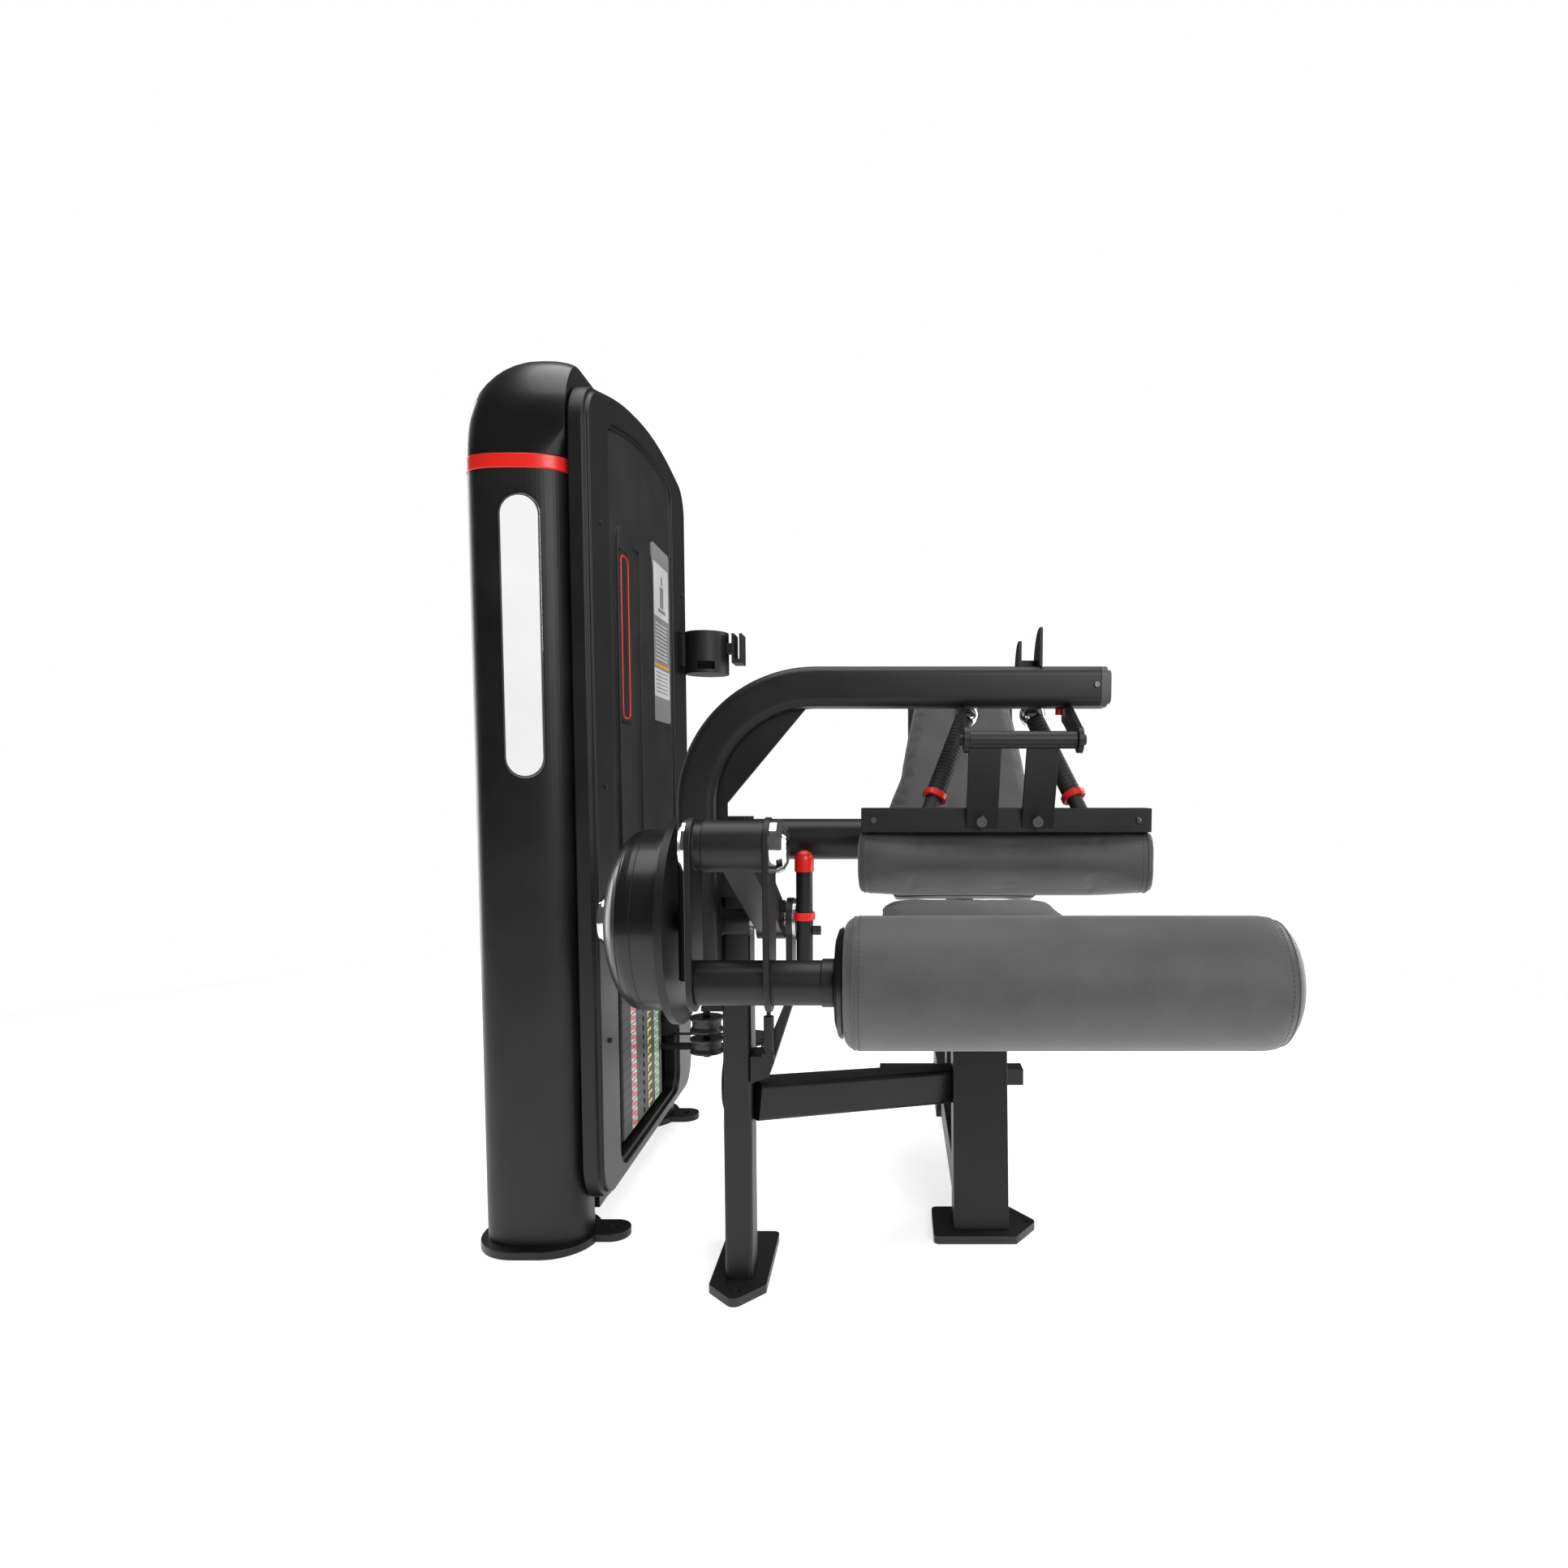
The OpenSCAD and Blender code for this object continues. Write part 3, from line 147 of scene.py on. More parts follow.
# %% Paints, shells, mouldings and metals
powder_coat = surface("powder_coat", grey(0.0045, 0.10), grey(0.009, 0.10), (0.36, 0.48),
                      900, 0.12, specular=0.36)
gloss_shell = surface("gloss_shell", grey(0.003), grey(0.006), (0.26, 0.36), 520, 0.03,
                      coat=0.15, specular=0.4)
shroud_skin = surface("shroud_skin", grey(0.0035), grey(0.007), (0.36, 0.48), 1100, 0.10, specular=0.36)
dark_moulding = surface("dark_moulding", grey(0.007), grey(0.013), (0.42, 0.56), 1300, 0.14, specular=0.4)
foot_paint = surface("foot_paint", grey(0.012), grey(0.024), (0.36, 0.50), 800, 0.12, specular=0.4)
red_plastic = surface("red_plastic", (0.62, 0.012, 0.008), (0.78, 0.020, 0.012), (0.26, 0.36), 700, 0.04)
bright_cap = surface("bright_cap", grey(0.66), grey(0.80), (0.06, 0.14), 60, 0.01, metal=1.0)
ground_steel = surface("ground_steel", grey(0.42), grey(0.58), (0.20, 0.34), 240, 0.02, metal=1.0)
plate_paint = surface("plate_paint", grey(0.012), grey(0.024), (0.42, 0.60), 420, 0.18)
pulley_nylon = surface("pulley_nylon", grey(0.020), grey(0.036), (0.30, 0.44), 600, 0.06)
cable_coat = surface("cable_coat", grey(0.010), grey(0.018), (0.28, 0.40), 900, 0.05)
rubber_grip = surface("rubber_grip", grey(0.012), grey(0.020), (0.55, 0.70), 700, 0.20)
white_panel = surface("white_panel", grey(0.90), grey(0.95, 0.01), (0.16, 0.24), 30, 0.02, coat=0.5)
# A lighter grey for part ends: the end caps' own grey, lightened further as a painted highlight where the
# light from the right falls on them.
end_cap_highlight_grey = surface("end_cap_highlight_grey", grey(0.045), grey(0.065), (0.40, 0.52), 1200, 0.12)
thread = surface("thread", grey(0.030), grey(0.050), (0.60, 0.75), 1500, 0.10)
label_red = surface("label_red", (0.55, 0.010, 0.010), (0.68, 0.016, 0.014), (0.30, 0.38), 500, 0.01)
print("finishes", len(bpy.data.materials))


# %% [markdown]
# ## Grained vinyl
# The cushions wear charcoal vinyl with a pebbled grain. Two cell patterns of different size are
# laid over each other, the larger one soft and the smaller one crisp, so that the grain reads at
# arm's length and does not repeat. A little sheen lifts the grazing edges, as on the real skin.

# %% The vinyl
def grained_vinyl(name, dark, light):
    mat = surface(name, dark, light, (0.50, 0.62), 420, 0.10, sheen=0.25, drift=14.0)
    tree = mat.node_tree
    place = next(n for n in tree.nodes if n.type == "TEX_COORD")
    bump = next(n for n in tree.nodes if n.type == "BUMP")
    cells = add_node(tree, "ShaderNodeTexVoronoi", feature="DISTANCE_TO_EDGE")
    cells.inputs["Scale"].default_value = 420
    tree.links.new(place.outputs["Object"], cells.inputs["Vector"])
    crease = add_node(tree, "ShaderNodeMapRange")
    crease.inputs["From Max"].default_value = 0.22
    tree.links.new(cells.outputs["Distance"], crease.inputs["Value"])
    second = add_node(tree, "ShaderNodeBump")
    second.inputs["Strength"].default_value = 0.55
    second.inputs["Distance"].default_value = 0.22 * MM
    tree.links.new(crease.outputs["Result"], second.inputs["Height"])
    tree.links.new(bump.outputs["Normal"], second.inputs["Normal"])
    shader = tree.nodes["Principled BSDF"]
    tree.links.new(second.outputs["Normal"], shader.inputs["Normal"])
    # fine light flecks, so the colour itself carries the grain
    ramp = next(n for n in tree.nodes if n.type == "VALTORGB")
    fleck = noise_at(tree, place, 900, 1.0)
    mix = add_node(tree, "ShaderNodeMix", data_type="RGBA", blend_type="MULTIPLY")
    mix.inputs["Factor"].default_value = 0.55
    tree.links.new(ramp.outputs["Color"], mix.inputs["A"])
    tree.links.new(fleck.outputs["Color"], mix.inputs["B"])
    soft = add_node(tree, "ShaderNodeMix", data_type="RGBA")
    soft.inputs["Factor"].default_value = 0.5
    tree.links.new(ramp.outputs["Color"], soft.inputs["A"])
    tree.links.new(mix.outputs["Result"], soft.inputs["B"])
    tree.links.new(soft.outputs["Result"], shader.inputs["Base Color"])
    return mat


vinyl = grained_vinyl("charcoal_vinyl", grey(0.050), grey(0.072))
FINISH = {
    "black_paint": powder_coat, "gloss_shell": gloss_shell, "shroud_skin": shroud_skin,
    "dark_moulding": dark_moulding, "upholstery": vinyl, "red_accent": red_plastic,
    "bright_metal": bright_cap, "ground_steel": ground_steel, "white_panel": white_panel,
    "plate_iron": plate_paint, "pulley_nylon": pulley_nylon, "cable_coat": cable_coat,
    "label_print": dark_moulding,
}
for name, node in NODES.items():
    node.data.materials.clear()
    node.data.materials.append(FINISH[SLOT_OF[name]])
print("dressed", len(NODES), "packed parts")


# %% [markdown]
# ## Softening the edges
# Sawn, bent and cast parts never have a knife edge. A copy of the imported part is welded, its flat
# faces are joined, and a Bevel modifier rounds what is left. The bevel hardens its normals, so the big
# faces stay flat in the light while the edges catch a thin highlight.

# %% The edge softener
def merged_copy(node):
    work = bmesh.new()
    work.from_mesh(NODES[node].data)
    bmesh.ops.remove_doubles(work, verts=work.verts, dist=0.02 * MM)
    bmesh.ops.dissolve_limit(work, angle_limit=math.radians(0.4), verts=work.verts, edges=work.edges)
    mesh = bpy.data.meshes.new(node + "_soft")
    work.to_mesh(mesh)
    work.free()
    for layer in [a.name for a in mesh.attributes if a.name == "custom_normal"]:
        mesh.attributes.remove(mesh.attributes[layer])
    mesh.polygons.foreach_set("use_smooth", [True] * len(mesh.polygons))
    return mesh


def keep_piece(name, mesh, mat, body, stands_for=()):
    piece = bpy.data.objects.new(name, mesh)
    bpy.context.scene.collection.objects.link(piece)
    if mat is not None:
        piece.data.materials.clear()
        piece.data.materials.append(mat)
    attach(piece, body)
    if stands_for:
        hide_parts(*stands_for)
    return piece


def settled_mesh(obj):
    """The object's mesh with its modifiers applied."""
    graph = bpy.context.evaluated_depsgraph_get()
    return bpy.data.meshes.new_from_object(obj.evaluated_get(graph), depsgraph=graph)


def soften(node, width, mat=None, segments=2, angle=32):
    rough = bpy.data.objects.new("rough", merged_copy(node))
    bpy.context.scene.collection.objects.link(rough)
    bevel = rough.modifiers.new("edges", "BEVEL")
    bevel.width = width * MM
    bevel.segments = segments
    bevel.limit_method = "ANGLE"
    bevel.angle_limit = math.radians(angle)
    bevel.harden_normals = True
    mesh = settled_mesh(rough)
    bpy.data.objects.remove(rough)
    slot = SLOT_OF[node]
    return keep_piece(node + "_shell", mesh, mat or FINISH[slot], BODY_OF[node], [node])


EDGE_WIDTH = {
    "tower_roof": 0.6, "tower_feet": 2.5, "station_feet": 2.5, "inner_shroud": 7.0, "outer_shroud": 5.0,
    "guard_panel": 5.0, "column_ring": 3.0, "light_panel": 2.5, "light_rim": 1.0,
    "stack_base": 1.0, "top_beam": 1.0, "cup_holder": 1.5, "phone_jaw": 1.5,
    "cross_beam": 1.5, "pivot_bracket": 1.2, "cam": 1.5, "link_plates": 1.5,
    "arch": 1.0, "arch_details": 1.5, "thigh_hanger": 1.5, "thigh_frame": 2.0, "seat_base": 3.0,
    "back_carriage": 2.0, "roller_tube": 1.2, "arm": 2.0, "pivot_post": 1.0, "start_lever": 1.5,
    "resting_plates": 1.2, "lifted_plates": 1.2,
}
# The faces of arch_details past the arch's end and the last 9 mm of the thigh frame get this lighter grey. It
# is partly the end caps' own grey and partly a painted highlight from the light at the right.
HIGHLIGHT_ENDS = {"arch_details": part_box("arch")[1].x + 0.5 * MM,
             "thigh_frame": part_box("thigh_frame")[1].x - 9 * MM}
for node, width in EDGE_WIDTH.items():
    mat = {"station_feet": foot_paint, "tower_feet": powder_coat}.get(node)
    piece = soften(node, width, mat)
    if node in HIGHLIGHT_ENDS:
        piece.data.materials.append(end_cap_highlight_grey)
        for face in piece.data.polygons:
            if face.center.x > HIGHLIGHT_ENDS[node]:
                face.material_index = 1
    print("softened", node, len(piece.data.polygons), "faces")


# %% [markdown]
# ## One tree that sets things on points
# Screws, plate labels and caps repeat, and Geometry Nodes is the right tool for that. A small mesh
# holds one vertex for each place and an "axis" attribute that says which way the thing looks. The tree
# instances a template there, turns it to the axis, scales it, and realizes the result.

# %% The setter tree
def new_tree(name, inputs):
    tree = bpy.data.node_groups.new(name, "GeometryNodeTree")
    tree.interface.new_socket("Geometry", in_out="INPUT", socket_type="NodeSocketGeometry")
    for label, kind, default in inputs:
        made = tree.interface.new_socket(label, in_out="INPUT", socket_type=kind)
        if default is not None:
            made.default_value = default
    tree.interface.new_socket("Geometry", in_out="OUTPUT", socket_type="NodeSocketGeometry")
    return tree, tree.nodes.new("NodeGroupInput"), tree.nodes.new("NodeGroupOutput")


def input_id(tree, label):
    return next(s.identifier for s in tree.interface.items_tree
                if s.item_type == "SOCKET" and s.in_out == "INPUT" and s.name == label)


def setter_tree():
    tree, start, end = new_tree("set_on_points", [
        ("Template", "NodeSocketObject", None), ("Size", "NodeSocketFloat", 1.0),
        ("Material", "NodeSocketMaterial", None)])
    info = add_node(tree, "GeometryNodeObjectInfo")
    axis = add_node(tree, "GeometryNodeInputNamedAttribute", data_type="FLOAT_VECTOR")
    axis.inputs["Name"].default_value = "axis"
    turn = add_node(tree, "FunctionNodeAlignRotationToVector", axis="Z")
    place = add_node(tree, "GeometryNodeInstanceOnPoints")
    points = add_node(tree, "GeometryNodeMeshToPoints")
    solid = add_node(tree, "GeometryNodeRealizeInstances")
    paint = add_node(tree, "GeometryNodeSetMaterial")
    link = tree.links.new
    link(start.outputs["Geometry"], points.inputs["Mesh"])
    link(start.outputs["Template"], info.inputs["Object"])
    link(points.outputs["Points"], place.inputs["Points"])
    link(info.outputs["Geometry"], place.inputs["Instance"])
    link(axis.outputs["Attribute"], turn.inputs["Vector"])
    link(turn.outputs["Rotation"], place.inputs["Rotation"])
    link(start.outputs["Size"], place.inputs["Scale"])
    link(place.outputs["Instances"], solid.inputs["Geometry"])
    link(solid.outputs["Geometry"], paint.inputs["Geometry"])
    link(start.outputs["Material"], paint.inputs["Material"])
    link(paint.outputs["Geometry"], end.inputs["Geometry"])
    return tree


SETTER = setter_tree()


def grow(tree, source, values):
    """Runs a tree on a mesh object and returns the plain mesh it makes. The source is removed."""
    grower = source.modifiers.new("grow", "NODES")
    grower.node_group = tree
    for label, value in values.items():
        grower[input_id(tree, label)] = value
    mesh = settled_mesh(source)
    bpy.data.objects.remove(source)
    return mesh


def point_object(points, axes):
    mesh = bpy.data.meshes.new("places")
    mesh.from_pydata([tuple(p) for p in points], [], [])
    axis = mesh.attributes.new("axis", "FLOAT_VECTOR", "POINT")
    axis.data.foreach_set("vector", [c for a in axes for c in a])
    places = bpy.data.objects.new("places", mesh)
    bpy.context.scene.collection.objects.link(places)
    return places


def set_pieces(name, template, spots, size, mat, body):
    """spots is a list of (point, axis). One plain mesh comes back, riding on the body."""
    places = point_object([s[0] for s in spots], [s[1] for s in spots])
    mesh = grow(SETTER, places, {"Template": template, "Size": size, "Material": mat})
    mesh.polygons.foreach_set("use_smooth", [False] * len(mesh.polygons))
    print(name, len(spots), "set,", len(mesh.polygons), "faces")
    return keep_piece(name, mesh, None, body)


# %% [markdown]
# The bolts on such machines are socket caps and button heads. One template of unit radius serves
# for all of them: a turned head with a chamfer and a hexagon sunk into its top.

# %% A socket head of unit radius
def ring(work, radius, height, count, turn=0.0):
    return [work.verts.new((radius * math.cos(2 * math.pi * k / count + turn),
                            radius * math.sin(2 * math.pi * k / count + turn), height))
            for k in range(count)]


def bridge(work, lower, upper):
    n = len(lower)
    for k in range(n):
        work.faces.new((lower[k], lower[(k + 1) % n], upper[(k + 1) % n], upper[k]))


def socket_head():
    count = 24
    work = bmesh.new()
    levels = [(1.0, -0.3), (1.0, 0.75), (0.9, 0.9), (0.58, 0.9)]
    rings = [ring(work, r, z, count) for r, z in levels]
    hexagon = [(0.52 * math.cos(math.radians(30)) / math.cos(math.radians((k * 15) % 60 - 30)), k)
               for k in range(count)]
    rim = [work.verts.new((r * math.cos(math.radians(15 * k)), r * math.sin(math.radians(15 * k)), 0.9))
           for r, k in hexagon]
    floor_ring = [work.verts.new((v.co.x, v.co.y, 0.4)) for v in rim]
    chain = [*rings, rim, floor_ring]
    for lower, upper in zip(chain, chain[1:]):
        bridge(work, lower, upper)
    work.faces.new(floor_ring)
    work.faces.new(list(reversed(rings[0])))
    mesh = bpy.data.meshes.new("socket_head")
    work.to_mesh(mesh)
    work.free()
    made = bpy.data.objects.new("socket_head", mesh)
    bpy.context.scene.collection.objects.link(made)
    return made


SOCKET = socket_head()
print("socket head", len(SOCKET.data.polygons), "faces")

# %% [markdown]
# ## Where the screws sit
# Every place is read from the box of the part that the screw holds. The axis is the way the head
# looks. Screws of one body share one mesh.

# %% Screws
TOWARDS_FRONT = Vector((0, -1, 0))
TO_SEAT = Vector((1, 0, 0))

beam_low, beam_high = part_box("thigh_frame")
pad_low, pad_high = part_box("thigh_pad")
arch_low, arch_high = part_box("arch")
cap_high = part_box("arch_details")[1]
lever_low, lever_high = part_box("start_lever")
shroud_low, shroud_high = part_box("inner_shroud")

beam_z = pad_high.z + 17 * MM
beam_front = pad_low.y
hanger_x = [(beam_low.x + beam_high.x) / 2 - 36 * MM, (beam_low.x + beam_high.x) / 2 + 43 * MM]
thigh_screws = [(Vector((x, beam_front, beam_z)), TOWARDS_FRONT)
                for x in (pad_low.x + 22 * MM, pad_high.x - 24 * MM)]
thigh_bolts = [(Vector((x, beam_front - 6 * MM, beam_z - 2 * MM)), TOWARDS_FRONT) for x in hanger_x]
arch_z = arch_high.z - 29 * MM
frame_screws = [(Vector((cap_high.x - 22 * MM, arch_low.y, arch_z + 2 * MM)), TOWARDS_FRONT)]
shroud_screws = [(Vector((shroud_high.x, y, z)), TO_SEAT)
                 for y in (shroud_low.y + 55 * MM, shroud_high.y - 55 * MM)
                 for z in (shroud_low.z + 0.28, (shroud_low.z + shroud_high.z) / 2, shroud_high.z - 0.28)]
set_pieces("thigh_screws", SOCKET, thigh_screws, 4.2 * MM, bright_cap, "thigh")
set_pieces("thigh_bolts", SOCKET, thigh_bolts, 8.0 * MM, bright_cap, "thigh")
set_pieces("arch_screws", SOCKET, frame_screws, 4.0 * MM, bright_cap, "frame")
set_pieces("shroud_screws", SOCKET, shroud_screws, 4.5 * MM, dark_moulding, "frame")

# %% [markdown]
# ## Turned pieces
# Rings, caps and rollers are all turned shapes. One helper spins a profile of (distance along the
# axis, radius) about any axis, closes both ends, and gives back a mesh with its place in its points.

# %% The lathe
def turned(name, point, axis, profile, count=64, smooth=True):
    axis = Vector(axis).normalized()
    side = axis.orthogonal().normalized()
    other = axis.cross(side)
    work = bmesh.new()
    rings = []
    for along, radius in profile:
        centre = Vector(point) + axis * along
        if radius < 1e-6:
            rings.append([work.verts.new(centre)])
        else:
            rings.append([work.verts.new(centre + (side * math.cos(a) + other * math.sin(a)) * radius)
                          for a in (2 * math.pi * k / count for k in range(count))])
    for lower, upper in zip(rings, rings[1:]):
        for k in range(count):
            n = (k + 1) % count
            if len(lower) == 1:
                work.faces.new((lower[0], upper[n], upper[k]))
            elif len(upper) == 1:
                work.faces.new((lower[k], lower[n], upper[0]))
            else:
                work.faces.new((lower[k], lower[n], upper[n], upper[k]))
    for end in (rings[0], rings[-1]):
        if len(end) > 1:
            work.faces.new(end)
    bmesh.ops.recalc_face_normals(work, faces=work.faces)
    mesh = bpy.data.meshes.new(name)
    work.to_mesh(mesh)
    work.free()
    mesh.polygons.foreach_set("use_smooth", [smooth] * len(mesh.polygons))
    if smooth:
        mesh.set_sharp_from_angle(angle=math.radians(38))
    return mesh


def arc(centre, radius, start, stop, steps=6):
    """Points of an arc in the (along, radius) plane, angles in degrees."""
    return [(centre[0] + radius * math.cos(math.radians(a)), centre[1] + radius * math.sin(math.radians(a)))
            for a in (start + (stop - start) * k / steps for k in range(steps + 1))]


def joined(name, meshes):
    work = bmesh.new()
    for mesh in meshes:
        work.from_mesh(mesh)
        bpy.data.meshes.remove(mesh)
    made = bpy.data.meshes.new(name)
    work.to_mesh(made)
    work.free()
    return made


# %% [markdown]
# ## The cushions
# A cushion is foam in a tight skin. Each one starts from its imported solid, cut into cells of a few
# millimetres and relaxed, so that its edges turn round. Then Cloth fills it with a little pressure.
# How far a point may travel is capped, which crowns the faces and leaves the corners pulled in, and the
# side that rests on its board is pressed flat again.

# %% Filling a cushion
FRAMES = 20


def swap_mesh(obj, mesh):
    old = obj.data
    obj.modifiers.clear()
    obj.data = mesh
    bpy.data.meshes.remove(old)


def remeshed(obj, cell, rounds):
    cells = obj.modifiers.new("cells", "REMESH")
    cells.mode = "VOXEL"
    cells.voxel_size = cell * MM
    relax = obj.modifiers.new("relax", "SMOOTH")
    relax.factor = 0.5
    relax.iterations = rounds
    swap_mesh(obj, settled_mesh(obj))


def filled(obj, cap, pressure=4.0):
    """Cloth with pressure for a few frames, each point held within cap millimetres of its start."""
    start = [v.co.copy() for v in obj.data.vertices]
    cloth = obj.modifiers.new("fill", "CLOTH")
    cloth.settings.use_pressure = True
    cloth.settings.uniform_pressure_force = pressure
    cloth.settings.effector_weights.gravity = 0
    cloth.settings.tension_stiffness = cloth.settings.compression_stiffness = 18
    cloth.settings.bending_stiffness = 0.8
    cloth.point_cache.frame_start, cloth.point_cache.frame_end = 1, FRAMES
    for f in range(1, FRAMES + 1):
        bpy.context.scene.frame_set(f)
    swap_mesh(obj, settled_mesh(obj))
    bpy.context.scene.frame_set(1)
    moved = 0
    for v, was in zip(obj.data.vertices, start):
        step = v.co - was
        moved = max(moved, step.length)
        if step.length > cap * MM:
            v.co = was + step.normalized() * cap * MM
    return moved


def pressed(mesh, node, way):
    """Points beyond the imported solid's face in that direction are brought back to it."""
    way = Vector(way).normalized()
    limit = max(v.co.dot(way) for v in NODES[node].data.vertices)
    for v in mesh.vertices:
        over = v.co.dot(way) - limit
        if over > 0:
            v.co -= way * over


def smooth_finish(obj):
    obj.modifiers.new("round", "SUBSURF").levels = 1
    obj.modifiers["round"].render_levels = 1
    swap_mesh(obj, settled_mesh(obj))
    obj.data.polygons.foreach_set("use_smooth", [True] * len(obj.data.polygons))


def cushion(node, cell, rounds, cap, board, start_mesh=None, name=None):
    mesh = start_mesh or merged_copy(node)
    obj = bpy.data.objects.new(name or node + "_cushion", mesh)
    bpy.context.scene.collection.objects.link(obj)
    remeshed(obj, cell, rounds)
    moved = filled(obj, cap)
    if board is not None:
        pressed(obj.data, node, board)
    smooth_finish(obj)
    obj.data.materials.clear()
    obj.data.materials.append(vinyl)
    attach(obj, BODY_OF[node])
    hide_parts(node)
    print(obj.name, len(obj.data.vertices), "points, largest step", round(moved * 1000, 1), "mm")
    return obj


# %% The seat, the back and the thigh cushion
tilt = math.radians(17)
BACK_BOARD = Vector((0, math.cos(tilt), -math.sin(tilt)))
seat = cushion("seat_pad", 6, 14, 9, (0, 0, -1))
back = cushion("back_pad", 6, 14, 9, BACK_BOARD)
thigh = cushion("thigh_pad", 4, 8, 6, (0, 0, 1))

# %% [markdown]
# The roller is foam round a tube, with a flat end at the disc and a soft, drawn-in end outside. It is
# turned from a profile first, a few millimetres slim, and filled like the others.

# %% The roller
roll_low, roll_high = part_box("roller_pad")
roll_axis = Vector((0, (roll_low.y + roll_high.y) / 2, (roll_low.z + roll_high.z) / 2))
roll_radius = (roll_high.z - roll_low.z) / 2
roll_length = roll_high.x - roll_low.x
slim = roll_radius - 5 * MM
shoulder, nose = 20 * MM, 40 * MM
profile = [(0.0005, 0.0), (0.0005, slim - shoulder)]
profile += arc((shoulder, slim - shoulder), shoulder, 180, 90)
profile += [(roll_length - nose + nose * math.sin(math.radians(a)) - 3 * MM,
             slim * math.cos(math.radians(a)) ** 0.55) for a in range(0, 85, 8)]
profile += [(roll_length - 3 * MM, 0.0)]
roll_start = turned("roll_start", (roll_low.x, roll_axis.y, roll_axis.z), (1, 0, 0), profile, 96)
roller = cushion("roller_pad", 6, 3, 5, (-1, 0, 0), roll_start)


# %% [markdown]
# ## Seams
# The skins are sewn from panels, and where two panels meet there is a welt with a row of stitches
# beside it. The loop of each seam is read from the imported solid's own outline and dropped onto the
# finished cushion, so it lies on the skin. One tree turns the loop into a welt, another lays stitches.

# %% The two seam trees
def welt_tree():
    tree, start, end = new_tree("welt", [
        ("Radius", "NodeSocketFloat", 0.002), ("Material", "NodeSocketMaterial", None)])
    line = add_node(tree, "GeometryNodeMeshToCurve")
    circle = add_node(tree, "GeometryNodeCurvePrimitiveCircle")
    circle.inputs["Resolution"].default_value = 8
    tube = add_node(tree, "GeometryNodeCurveToMesh")
    solid = add_node(tree, "GeometryNodeRealizeInstances")
    paint = add_node(tree, "GeometryNodeSetMaterial")
    link = tree.links.new
    link(start.outputs["Geometry"], line.inputs["Mesh"])
    link(start.outputs["Radius"], circle.inputs["Radius"])
    link(line.outputs["Curve"], tube.inputs["Curve"])
    link(circle.outputs["Curve"], tube.inputs["Profile Curve"])
    link(tube.outputs["Mesh"], solid.inputs["Geometry"])
    link(solid.outputs["Geometry"], paint.inputs["Geometry"])
    link(start.outputs["Material"], paint.inputs["Material"])
    link(paint.outputs["Geometry"], end.inputs["Geometry"])
    return tree


def stitch_tree():
    tree, start, end = new_tree("stitches", [
        ("Spacing", "NodeSocketFloat", 0.006), ("Thickness", "NodeSocketFloat", 0.0007),
        ("Material", "NodeSocketMaterial", None)])
    line = add_node(tree, "GeometryNodeMeshToCurve")
    points = add_node(tree, "GeometryNodeCurveToPoints", mode="LENGTH")
    bead = add_node(tree, "GeometryNodeMeshUVSphere")
    bead.inputs["Segments"].default_value = 6
    bead.inputs["Rings"].default_value = 4
    long_bead = add_node(tree, "GeometryNodeTransform")
    long_bead.inputs["Scale"].default_value = (1, 1, 3.2)
    place = add_node(tree, "GeometryNodeInstanceOnPoints")
    solid = add_node(tree, "GeometryNodeRealizeInstances")
    paint = add_node(tree, "GeometryNodeSetMaterial")
    link = tree.links.new
    link(start.outputs["Geometry"], line.inputs["Mesh"])
    link(line.outputs["Curve"], points.inputs["Curve"])
    link(start.outputs["Spacing"], points.inputs["Length"])
    link(start.outputs["Thickness"], bead.inputs["Radius"])
    link(bead.outputs["Mesh"], long_bead.inputs["Geometry"])
    link(points.outputs["Points"], place.inputs["Points"])
    link(points.outputs["Rotation"], place.inputs["Rotation"])
    link(long_bead.outputs["Geometry"], place.inputs["Instance"])
    link(place.outputs["Instances"], solid.inputs["Geometry"])
    link(solid.outputs["Geometry"], paint.inputs["Geometry"])
    link(start.outputs["Material"], paint.inputs["Material"])
    link(paint.outputs["Geometry"], end.inputs["Geometry"])
    return tree


WELT, STITCHES = welt_tree(), stitch_tree()


def loop_object(points):
    mesh = bpy.data.meshes.new("loop")
    mesh.from_pydata([tuple(p) for p in points], [(k, (k + 1) % len(points)) for k in range(len(points))], [])
    loop = bpy.data.objects.new("loop", mesh)
    bpy.context.scene.collection.objects.link(loop)
    return loop


def outline_loop(node, way, depth, inset, count=160):
    """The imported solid's end face in that direction, as an even loop moved back by depth and inwards."""
    way = Vector(way).normalized()
    verts = [v.co for v in NODES[node].data.vertices]
    top = max(v.dot(way) for v in verts)
    side = way.orthogonal().normalized()
    other = way.cross(side)
    face = {(round(v.dot(side), 5), round(v.dot(other), 5)) for v in verts if top - v.dot(way) < MM}
    mid = (sum(p[0] for p in face) / len(face), sum(p[1] for p in face) / len(face))
    ordered = sorted(face, key=lambda p: math.atan2(p[1] - mid[1], p[0] - mid[0]))
    spaced = []
    for k, here in enumerate(ordered):
        there = ordered[(k + 1) % len(ordered)]
        length = math.dist(here, there)
        for s in range(max(1, round(length / 0.008))):
            t = s / max(1, round(length / 0.008))
            spaced.append((here[0] + (there[0] - here[0]) * t, here[1] + (there[1] - here[1]) * t))
    out = []
    for p in spaced:
        reach = math.dist(p, mid)
        f = (reach - inset * MM) / reach
        out.append(side * (mid[0] + (p[0] - mid[0]) * f) + other * (mid[1] + (p[1] - mid[1]) * f)
                   + way * (top - depth * MM))
    return out


def on_skin(cushion_obj, points, lift):
    skin = BVHTree.FromPolygons([v.co for v in cushion_obj.data.vertices],
                                [list(p.vertices) for p in cushion_obj.data.polygons])
    placed = []
    for p in points:
        near, normal, _, _ = skin.find_nearest(p)
        placed.append(near + normal * lift * MM)
    return placed


